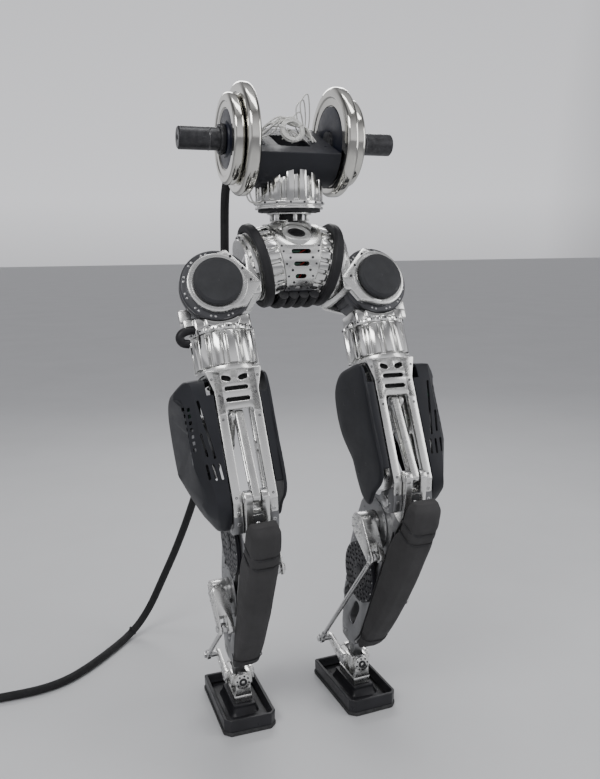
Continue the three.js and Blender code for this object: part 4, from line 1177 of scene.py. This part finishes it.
def make_thigh_covers(side):
    body, place = f"{side}_thigh", LEG[side]["thigh"]
    inner = [(112.5, 0.74), (110, 0.80), (104, 0.86), (91, 0.95), (70, 0.955), (47, 0.96), (46.4, 0.962)]
    outer = [(46.2, 0.985), (46.8, 0.995), (50, 1.0), (70, 1.0), (88, 0.995), (95, 0.985), (99, 0.965),
             (108, 0.90), (114.5, 0.845), (117, 0.80), (117.8, 0.74)]
    shell = loft([cover_ring(x, k, 35) for x, k in inner] + [cover_ring(x, k, 40) for x, k in outer])
    tools = [block(40, 60, -60, -33, -219, -150, 3, 0, "z"), block(40, 62, -60, 60, -186.5, -150, 3, 0, "z")]
    outwards = Matrix.Translation((101, -30, 0)) @ VENT_TURN
    for row in range(7):
        for column in (-6.5, 6.5):
            vent = block(-16, 24, column - 3.6, column + 3.6, -3.6, 3.6, 1.2, 0, "x")
            tools.append(moved(vent, Matrix.Translation((0, 0, -238 - 13 * row + column * 0.3)) @ outwards))
    for x, z, half, width, lean in ((71, -284, 58, 2.6, 8), (80, -313, 23, 2.4, 8), (80, -364, 15, 2.4, 5),
                                    (68, -366, 16, 2.4, 5), (56, -366, 16, 2.4, 5)):
        slit = prism(slot_hole(0, 0, half, width, math.pi / 2), "y", -70, -20, bevel=0)
        tools.append(moved(slit, Matrix.Translation((x, 0, z)) @ Matrix.Rotation(math.radians(lean), 4, "Y")))
    shell = cut(shell, *tools, bevel=0.5)
    piece(f"thigh_cover_outer_{side}_shell", shell, place, "cover_plastic", body,
          [f"thigh_cover_outer_{side}"], sharp=30)
    struts = [strand([(62, -30, -236), (60, -34, -290), (54, -32, -352)], 6, 3, 12),
              strand([(78, -26, -290), (70, -30, -336), (62, -28, -376)], 6, 3, 12)]
    piece(f"knee_motor_{side}_struts", merged(*struts), place, "frame_aluminium", body)
    leads = strand([(86, -16, -262), (84, -22, -290), (78, -20, -318), (84, -10, -344)], 6, 1.8, 10)
    piece(f"knee_motor_{side}_leads", leads, place, "lead_red", body)
    board = moved(block(-3, 0, -9, 9, -36, 36, 1, 0.6, "x"), Matrix.Translation((90, -18, -272)) @ VENT_TURN)
    piece(f"knee_motor_{side}_boards", board, place, "circuit_green", body)
    screws = [bolt((x, -45.6, z), (0, -1, 0), 2.4, 1.0) for x, z in ((54, -226), (56, -330), (54, -400))]
    piece(f"thigh_cover_outer_{side}_screws", merged(*screws), place, "bar_metal", body)

    outline = [(-46, -410), (-46, -300), (-46, -204), (-28, -178), (20, -172), (66, -174), (100, -200),
               (110, -248), (104, -296), (86, -334), (72, -362), (67, -400), (56, -442), (34, -460),
               (4, -442)]
    rings = []
    for x, scale in ((-61.0, 0.93), (-61.0, 0.985), (-62, 0.996), (-64, 1.0), (-66, 0.994), (-67.5, 0.975),
                     (-68.4, 0.93), (-69.4, 0.72), (-69.6, 0.5)):
        rings.append([(x, *((q - COVER_MIDDLE) * scale + COVER_MIDDLE)) for q in smooth_loop(outline, 7)])
    rim = fillet([(-46, -400), (-46, -220), (-35, -220), (-35, -400)], 3)
    flange = prism(rim, "x", -62.5, -46, bevel=1.4)
    bead = swept(curve_points([(-64.5, -45.5, -398), (-64.8, -46.8, -310), (-64.5, -45.5, -222)], 8), 2.2, 12)
    piece(f"thigh_cover_inner_{side}_plate", merged(loft(rings), flange, bead), place, "cover_plastic", body,
          [f"thigh_cover_inner_{side}"], sharp=30)
    screw_places = ((0, -230), (60, -240), (10, -380), (50, -390))
    screws = [bolt((-69.2, y, z), (-1, 0, 0), 3, 0.8) for y, z in screw_places]
    piece(f"thigh_cover_inner_{side}_screws", merged(*screws), place, "bar_metal", body)


def make_knee_drive(side):
    crank_body, crank_place = f"{side}_knee_crank_body", LEG[side]["knee_crank"]
    arm = link(ORIGIN, KNEE_ARM, 19, 12, 9.2, 17.8, [circle(6, 24, KNEE_ARM.y, KNEE_ARM.z)], 1.4)
    shaft = disc(13, 16, 46.4, "x", 0.8, 40)
    hub = disc(22, 9.2, 20, "x", 1.6, 56)
    pin = shifted(disc(6.2, -9.2, 20, "x", 0.8, 24), 0, KNEE_ARM.y, KNEE_ARM.z)
    piece(f"knee_crank_{side}_arm", merged(arm, shaft, hub), crank_place, "frame_aluminium", crank_body,
          [f"knee_crank_{side}"])
    screws = bolt_circle(6, 16, "x", 9.2, -1, 2.4, 0.8, 0.2) + bolt_circle(6, 17, "x", 20, 1, 2.2, 1.4, 0.2)
    piece(f"knee_crank_{side}_pin", merged(pin, *screws), crank_place, "rod_steel", crank_body)

    rod_body, rod_place = f"{side}_knee_rod_body", LEG[side]["knee_rod"]
    end = Vector((0, -22, -162))
    middle = end / 2
    tilt = math.atan2(end.z, end.y)
    pocket = slot_hole(middle.y, middle.z, 52, 3.4, tilt)
    eyes = [circle(6.3, 24, 0, 0), circle(6.3, 24, end.y, end.z)]
    rod = link(ORIGIN, end, 11, 11, -8.2, 7.8, [pocket, *eyes], 2.0)
    piece(f"knee_rod_{side}_bar", rod, rod_place, "frame_aluminium", rod_body, [f"knee_rod_{side}"])
    bushes = [disc(8.4, -8.8, 8.4, "x", 0.6, 32, hole=6.2) for _ in range(2)]
    pin = disc(6.1, -9.3, 9.3, "x", 0.8, 24)
    bushes = merged(bushes[0], shifted(merged(bushes[1], pin), *end))
    piece(f"knee_rod_{side}_bushes", bushes, rod_place, "rod_steel", rod_body)


# ---- Shin: body, ankle motor covers, pad and straps ----
SHIN_OUTLINE = [(-17, 62, 5), (-12, 73, 5), (0, 77, 6), (9, 73, 5), (12, 62, 5), (24, 26, 12), (60, -38, 16),
                (100, -62, 24), (117, -105, 30), (119, -180, 30), (112, -262, 30), (92, -330, 30),
                (60, -436, 16), (42, -468, 10), (14, -462, 10), (-16, -440, 10), (-31, -400, 12),
                (-31, -60, 10), (-38, -10, 14), (-32, 20, 10)]


def make_shin_frame(side):
    body, place = f"{side}_shin", LEG[side]["shin"]
    pin = place.inverted() @ LEG[side]["thigh"] @ Vector((0, KNEE_ARM.y, KNEE_ARM.z - THIGH))
    windows = [slot_hole(30, -40, 15, 8, 2.0), slot_hole(66, -345, 30, 12, 1.9),
               slot_hole(20, -370, 36, 12, 1.66), slot_hole(4, -180, 60, 12, 1.57)]
    plates = prism(fillet(SHIN_OUTLINE, steps=4), "x", -23, 23, windows, 2.4)
    space = prism([(-50, 44), (-8, 36), (60, 4), (60, 90), (-50, 90)], "x", -9.6, 9.6, bevel=0)
    waist_cut = [block(*sorted((s * 19.5, s * 30)), 70, 88, -330, -80, 8, 0, "x") for s in (-1, 1)]
    plates = cut(plates, space, *waist_cut, bevel=1.0)
    tongue = link(Vector((0, 10, 40 - SHIN)), Vector((0, 0, -SHIN)), 15, 13.6, -12, 12,
                  [circle(7, 28, 0, -SHIN)], 1.6)
    piece(f"shin_frame_{side}_body", merged(plates, tongue), place, "light_anodised", body,
          [f"shin_frame_{side}"])

    lever = [(-18, 60, 4), (pin.y - 12, pin.z + 9, 8), (pin.y, pin.z + 15.4, 9), (pin.y + 12, pin.z + 9, 8),
             (14, 54, 8), (22, 20, 12), (10, -26, 12), (-36, -30, 5), (-39.5, -10, 8), (-33.5, 20, 8)]
    lever = prism(fillet(lever, steps=4), "x", -24.2, 24.2, bevel=2)
    room = prism([(-60, 40), (-12, 38), (-8, 36), (60, 4), (60, 90), (-60, 90)], "x", -9.6, 9.6, bevel=0)
    recess = block(-9, 9, -52, -26, 6, 60, 4, 0, "y")
    ears = cut(lever, room, recess, bevel=1)
    steel = [bolt((0, -27, 20), (0, -1, 0), 5, 5)]
    for sign in (-1, 1):
        steel.append(shifted(side_disc(sign, 7.5, 24, 25.6, 0.6, 32), 0, pin.y, pin.z))
        steel.append(side_disc(sign, 17, 22, 25.2, 1, 48))
        steel.append(side_disc(sign, 8, 25, 26.2, 0.5, 6))
        for y, z in ((-27, -75), (-27, -135), (-27, -330), (-24, -392), (52, -50), (84, -330), (70, -385),
                     (40, -452), (104, -210), (30, -445), (-20, -425)):
            steel.append(bolt((sign * 22.9, y, z), (sign, 0, 0), 2.6, 1.3))
    piece(f"shin_clevis_{side}_ears", ears, place, "frame_aluminium", body)
    piece(f"shin_clevis_{side}_pins", merged(*steel), place, "rod_steel", body)
    bushing = disc(12, -13.2, 13.2, "x", 0.8, 40)
    piece(f"shin_tongue_{side}_bush", shifted(bushing, 0, 0, -SHIN), place, "rod_steel", body)

    for where, sign, centre in (("outer", 1, UPPER_MOTOR), ("inner", -1, LOWER_MOTOR)):
        holes = []
        for radius, count in ((30, 12), (40, 16), (50, 20), (59, 24)):
            holes += hole_ring(count, radius, 2.7, first=0.13 * radius)
        skin = prism(circle(68, 96), "x", 27.6, 32, holes, 1.2)
        rim = disc(68, 23.5, 28.4, "x", 1, 96, hole=62)
        hub = disc(21, 27, 33.4, "x", 1.4, 56)
        dome = [skin, rim, hub, *bolt_circle(6, 15, "x", 33.4, 1, 2, 0.8)]
        turned_out = Matrix.Translation((0, centre.y, centre.z)) @ Matrix.Scale(sign, 4, X)
        piece(f"ankle_motor_cover_{where}_{side}_skin", moved(merged(*dome), turned_out), place,
              "vented_black", body, [f"ankle_motor_cover_{where}_{side}"])
        winding = moved(disc(61, 23.5, 27.2, "x", 0.6, 72), turned_out)
        # Behind the outer cover's holes the disc is near-black painted shade; behind the inner cover it is
        # the red winding.
        winding_and_shade_slot = "winding_red" if sign < 0 else "painted_shade_black"
        piece(f"ankle_motor_{where}_{side}_winding", winding, place, winding_and_shade_slot, body)
        seat = merged(*bolt_circle(14, 65, "x", 31.9, 1, 1.7, 0.8))
        piece(f"ankle_motor_{where}_{side}_screws", moved(seat, turned_out), place, "rod_steel", body)


PAD_FRONT = [(-74, 52), (-86, 41), (-93, 24), (-97, 0), (-98, -40), (-98, -80), (-96, -135), (-92, -190),
             (-85, -245), (-76, -300), (-66, -348), (-54, -396), (-44, -416)]
STRAPS = ((-6, 2.6, 1.6), (-32, 2.6, 1.6), (-372, 1.6, 1.0))  # height, half width, depth pressed in
PAD_BACK = [(-53, 46), (-51, 30), (-51, 12), (-52, -10), (-50, -36), (-40, -60), (-34.5, -100), (-34.5, -160),
            (-34.5, -220), (-34.5, -290), (-34.5, -345), (-34.8, -385), (-35, -412)]


def make_pad(side):
    """The foam shin pad: a faceted shell with soft edges, pulled in under its straps."""
    body, place = f"{side}_shin", LEG[side]["shin"]
    front, back = curve_points([(*p, 0) for p in PAD_FRONT], 7), curve_points([(*p, 0) for p in PAD_BACK], 7)
    rings = []
    for i, (f, b) in enumerate(zip(front, back)):
        share = i / (len(front) - 1)
        depth = Vector(f.xy) - Vector(b.xy)
        half = 30.4 - 3.0 * max(0, share - 0.55) / 0.45 - 5 * max(0, 0.08 - share) / 0.08
        pinch = sum(amount * math.exp(-((f.y - z) / 5.5) ** 2) for z, _, amount in STRAPS)
        wave = 0.9 * noise.noise(Vector((share * 9, 3.1 if side == "left" else 8.7, 0)))
        half += wave - pinch
        crown = 0.58 if share < 0.82 else 0.50
        flank = [(-half, 0.0), (-half - 0.2, 0.3), (-half + 0.3, 0.62), (-half * 0.93, 0.82),
                 (-half * crown, 0.985), (-half * 0.25, 1.0)]
        section = flank + mirrored(flank) + [(half * 0.6, -0.01), (-half * 0.6, -0.01)]
        ring = []
        for x, along in smooth_loop(section, 3):
            push = pinch * 0.9 * max(0, along) ** 2
            ripple = 0.7 * noise.noise(Vector((x * 0.05, along * 2, share * 14)))
            point = Vector(b.xy) + depth * along - depth.normalized() * (push + ripple * max(0, along))
            ring.append((x, point.x, point.y))
        rings.append(ring)

    def shrink(ring, k, drop):
        centre = sum((Vector(p) for p in ring), Vector()) / len(ring)
        return [tuple(centre.lerp(Vector(p), k) + Vector((0, 0, drop))) for p in ring]

    caps_top = [shrink(rings[0], 0.55, 3.2), shrink(rings[0], 0.8, 2.8), shrink(rings[0], 0.94, 1.4)]
    caps_low = [shrink(rings[-1], 0.94, -1.4), shrink(rings[-1], 0.8, -2.6), shrink(rings[-1], 0.5, -3)]
    pad = modified(loft(caps_top + rings + caps_low), ("SUBSURF", {"levels": 1, "render_levels": 1}))
    pad = piece(f"shin_pad_{side}_foam", pad, place, "pad_foam", body, [f"shin_pad_{side}"], sharp=50)

    bands = []
    for z, width, _ in STRAPS:
        f = min(front, key=lambda p: abs(p.y - z))
        depth = -f.x
        back_y = -50 if z > -60 else -34
        flank = [(-31.2, back_y), (-31.6, -0.55 * depth - 16), (-29, -0.86 * depth), (-18, -depth + 1.0)]
        section = flank + [(0, -depth - 0.1)] + mirrored(flank)
        line = curve_points([(x, y, 0) for x, y in section], 5)
        outer, inner = [], []
        for i, p in enumerate(line):
            along = (line[min(i + 1, len(line) - 1)] - line[max(i - 1, 0)]).normalized()
            normal = Vector((along.y, -along.x, 0))
            outer.append((p + normal * 0.5).xy)
            inner.append((p - normal * 0.9).xy)
        slope = math.atan2(8 if z > -300 else 26, 100)
        band = prism([tuple(q) for q in outer + inner[::-1]], "z", -width, width, bevel=0.4)
        bands.append(moved(band, Matrix.Translation((0, 0, z)) @ Matrix.Rotation(slope * 0.3, 4, "X")))
    piece(f"shin_pad_{side}_straps", merged(*bands), place, "strap_webbing", body)

    cables = []
    for x, y in ((-26, -40), (-28.5, -34), (27, -38)):
        route = [(x * 0.8, y + 8, -64), (x, y, -90), (x * 1.02, y + 3, -160), (x, y + 2, -290),
                 (x * 0.9, y + 6, -380), (x * 0.75, y + 22, -430)]
        cables.append(strand(route, 8, 2.1, 12))
    piece(f"shin_cables_{side}", merged(*cables), place, "cable_sleeve", body)


# ---- Ankle drive, ankle and foot ----
def make_ankle_drive(side):
    for where, sign, motor, ball in (("inner", -1, UPPER_MOTOR, UPPER_BALL),
                                     ("outer", 1, LOWER_MOTOR, LOWER_BALL)):
        place = LEG[side][f"ankle_crank_{where}"] @ Matrix.Scale(sign, 4, X)
        body = f"{side}_{where}_crank"
        arm = ball - motor
        rod_room = disc(31, ROD_MIDDLE - 7.8, ROD_MIDDLE + 7.8, "x", 0, 40)
        rod_room = shifted(rod_room, 0, 1.04 * arm.y, 1.04 * arm.z)
        bar = cut(link(ORIGIN, arm, 28, 14, 32.6, 65, (), 2.0), rod_room, bevel=0.9)
        hub = disc(27, 23.5, 44, "x", 2, 64)
        flange = disc(56, 23.2, 25.4, "x", 0.8, 72, hole=28)
        boss = disc(19, 62, 66.6, "x", 1.2, 56)
        piece(f"ankle_crank_{where}_{side}_arm", merged(bar, hub, boss), place, "frame_aluminium", body,
              [f"ankle_crank_{where}_{side}"])
        steel = bolt_circle(5, 14, "x", 66.6, 1, 2.4, 1.4, 0.4) + bolt_circle(8, 24.2, "x", 65, 1, 1.8, 1.0)
        steel += [bolt((x, y, z), (0, 0, 1), 1.9, 1) for x in (44, 56) for y, z in ((-6, 27.2), (12, 25))]
        stud = shifted(disc(5.4, 42, 67, "x", 0.8, 24), 0, arm.y, arm.z)
        nut = shifted(disc(8, 64.6, 69, "x", 0.8, 6), 0, arm.y, arm.z)
        shin = LEG[side]["shin"] @ Matrix.Translation((0, motor.y, motor.z)) @ Matrix.Scale(sign, 4, X)
        ring = merged(flange, *bolt_circle(16, 51, "x", 25.2, 1, 1.9, 0.9))
        piece(f"ankle_motor_flange_{where}_{side}", ring, shin, "light_anodised", f"{side}_shin")
        steel = merged(stud, nut, disc(6, 66, 68, "x", 0.6, 24), *steel)
        piece(f"ankle_crank_{where}_{side}_steel", steel, place, "rod_steel", body)

        rod_place = LEG[side][f"pushrod_{where}"] @ Matrix.Scale(sign, 4, X)
        horn = LEG[side]["ankle"] @ HORN
        reach = LEG[side][f"pushrod_{where}"].inverted() @ horn
        reach = Vector((0, reach.y, reach.z))
        turn = towards((ROD_MIDDLE, 0, 0), reach)
        profile = [(0, 8, 0), (6.4, 8), (6.4, 26), (4.2, 28), (4.2, 44), (5.1, 46)]
        far = [(r, reach.length - a) for r, a, *_ in reversed(profile)]
        shaft = lathe(fillet(profile + far, 0.7, closed=False), "z", 28)
        thread_places = [28.5 + 1.8 * k for k in range(8)]
        threads = [disc(4.75, a, a + 0.9, "z", 0.3, 24) for a in thread_places]
        nuts = [disc(7.2, 24, 29, "z", 0.7, 6), disc(7.2, reach.length - 29, reach.length - 24, "z", 0.7, 6)]
        rod = moved(merged(shaft, *threads, *nuts), turn)
        eyes = [disc(11, ROD_PLANE[0] + 0.4, ROD_PLANE[1] - 0.4, "x", 1.2, 40, hole=6.6) for _ in range(2)]
        eyes[1] = shifted(eyes[1], 0, reach.y, reach.z)
        end_pin = [disc(4.6, 47.2, 61, "x", 0.8, 20), disc(7.4, 58, 62.5, "x", 0.8, 6)]
        end_pin = shifted(merged(*end_pin), 0, reach.y, reach.z)
        piece(f"pushrod_{where}_{side}_rod", merged(rod, *eyes, end_pin), rod_place, "rod_steel",
              f"{side}_{where}_rod", [f"pushrod_{where}_{side}"])


def tray_outline(grow):
    """The foot tray from above, with cut toe corners."""
    toe = [(46, -105 - grow), (59 + grow, -92), (59 + grow, 105 + grow)]
    return fillet(mirrored(toe)[1:] + toe + mirrored(toe)[:1], 5 + 0.4 * grow, steps=5)


def island_outline(grow, r):
    return fillet([(-26 - grow, -52 - grow), (26 + grow, -52 - grow), (26 + grow, 52 + grow),
                   (-26 - grow, 52 + grow)], r)


def make_foot(side):
    body, place = f"{side}_ankle", LEG[side]["ankle"]
    space = [block(-12.7, 12.7, -21, 21, -22, 22, 3, 0, "z"), block(-12.7, 12.7, -32, 32, 0, 24, 3, 0, "z")]
    ring = cut(block(-24.5, 24.5, -29, 29, -16, 16, 5, 1.6, "y"), *space, bevel=0.8)
    horn = fillet([(20, -12, 6), (84, 12, 7), (86, 24, 6), (78, 31, 6), (66, 30, 6), (14, 16, 8),
                   (-12, 16, 4), (-12, -16, 4)], steps=4)
    holes = [circle(4.6, 20, 48, 12), circle(3.6, 20, 30, 6)]
    horns = [prism(horn, "x", 24, 33, holes, 1.8), prism(horn, "x", -33, -24, holes, 1.8)]
    piece(f"ankle_cross_{side}_block", merged(ring, *horns), place, "frame_aluminium", body,
          [f"ankle_cross_{side}"])
    steel = []
    for sign in (-1, 1):
        steel.append(shifted(side_disc(sign, 8, 31, 46.4, 1, 28), 0, HORN.y, HORN.z))
        steel.append(side_disc(sign, 12, 24, 35.4, 1.2, 40))
        steel += bolt_circle(5, 8, "x", sign * 35.2, sign, 1.9, 1.2)
        steel += bolt_circle(3, 9, "x", sign * 33, sign, 1.9, 1.2, 0.4, (20, 3))
    steel.append(disc(8, -29.6, 29.6, "y", 0.6, 28))
    piece(f"ankle_cross_{side}_steel", merged(*steel), place, "rod_steel", body)

    body, place = f"{side}_foot", LEG[side]["foot"]
    parts = []
    for y0, y1 in ((-42, -30), (30, 42)):
        ear = fillet([(-21, -44, 0), (21, -44, 0), (17, -20, 10), (17, 0, 0), (-17, 0, 0), (-17, -20, 10)], 2)
        parts.append(prism(ear, "y", y0, y1, bevel=1.2))
        parts.append(disc(19, y0, y1, "y", 1.4, 56))
    parts.append(block(-21, 21, -43, 43, -49.6, -32, 5, 1.6, "z"))
    piece(f"foot_bracket_{side}_ears", merged(*parts), place, "frame_aluminium", body,
          [f"foot_bracket_{side}"])
    screws = bolt_circle(8, 14, "y", -42, -1, 2.1, 1.4, 0.2) + bolt_circle(8, 14, "y", 42, 1, 2.1, 1.4, 0.2)
    screws += [disc(9, -44, -41, "y", 1, 40, hole=4), disc(9, 41, 44, "y", 1, 40, hole=4)]
    screws += [bolt((x, y, -33), (0, 0, 1), 2.8, 2) for x in (-16, 16) for y in (-22, 0, 22)]
    piece(f"foot_bracket_{side}_screws", merged(*screws), place, "bar_metal", body)

    inside_to_rim = ((-26, -72), (-15, -71.6), (-11, -69), (-7.4, -60), (-7.2, -51.5), (-6.4, -50),
                     (-1.4, -50), (0, -51.4), (0, -60), (-0.6, -78))
    tray = loft([[(u, v, z) for u, v in tray_outline(grow)] for grow, z in inside_to_rim])
    island = prism(island_outline(0, 5), "z", -79, -50.2, bevel=2.2)
    slopes = ((22, -78), (12, -74), (4, -66), (0, -56))
    pedestal = loft([[(u, v, z) for u, v in island_outline(grow, 6 + grow)] for grow, z in slopes])
    piece(f"foot_tray_{side}_shell", merged(tray, island, pedestal), place, "foot_black", body,
          [f"foot_tray_{side}"])

    rings = []
    edge = tray_outline(1.6)
    for k, z in enumerate((-77.2, -79.4, -83.2, -85.8)):
        ring = []
        for i, (u, v) in enumerate(edge):
            rough = 0.7 * noise.noise(Vector((u * 0.06, v * 0.06, k * 0.7 + (5 if side == "left" else 0))))
            shrink = 1 - 0.006 * (k == 0) - 0.004 * (k == 3) + rough * 0.008 * (0 < k < 3)
            ring.append((u * shrink, v * shrink, z))
        rings.append(ring)
    piece(f"foot_sole_{side}_rubber", loft(rings), place, "sole_rubber", body)


for side_name in SIDES:
    make_thigh_frame(side_name)
    make_thigh_covers(side_name)
    make_knee_drive(side_name)
    make_shin_frame(side_name)
    make_pad(side_name)
    make_ankle_drive(side_name)
    make_foot(side_name)
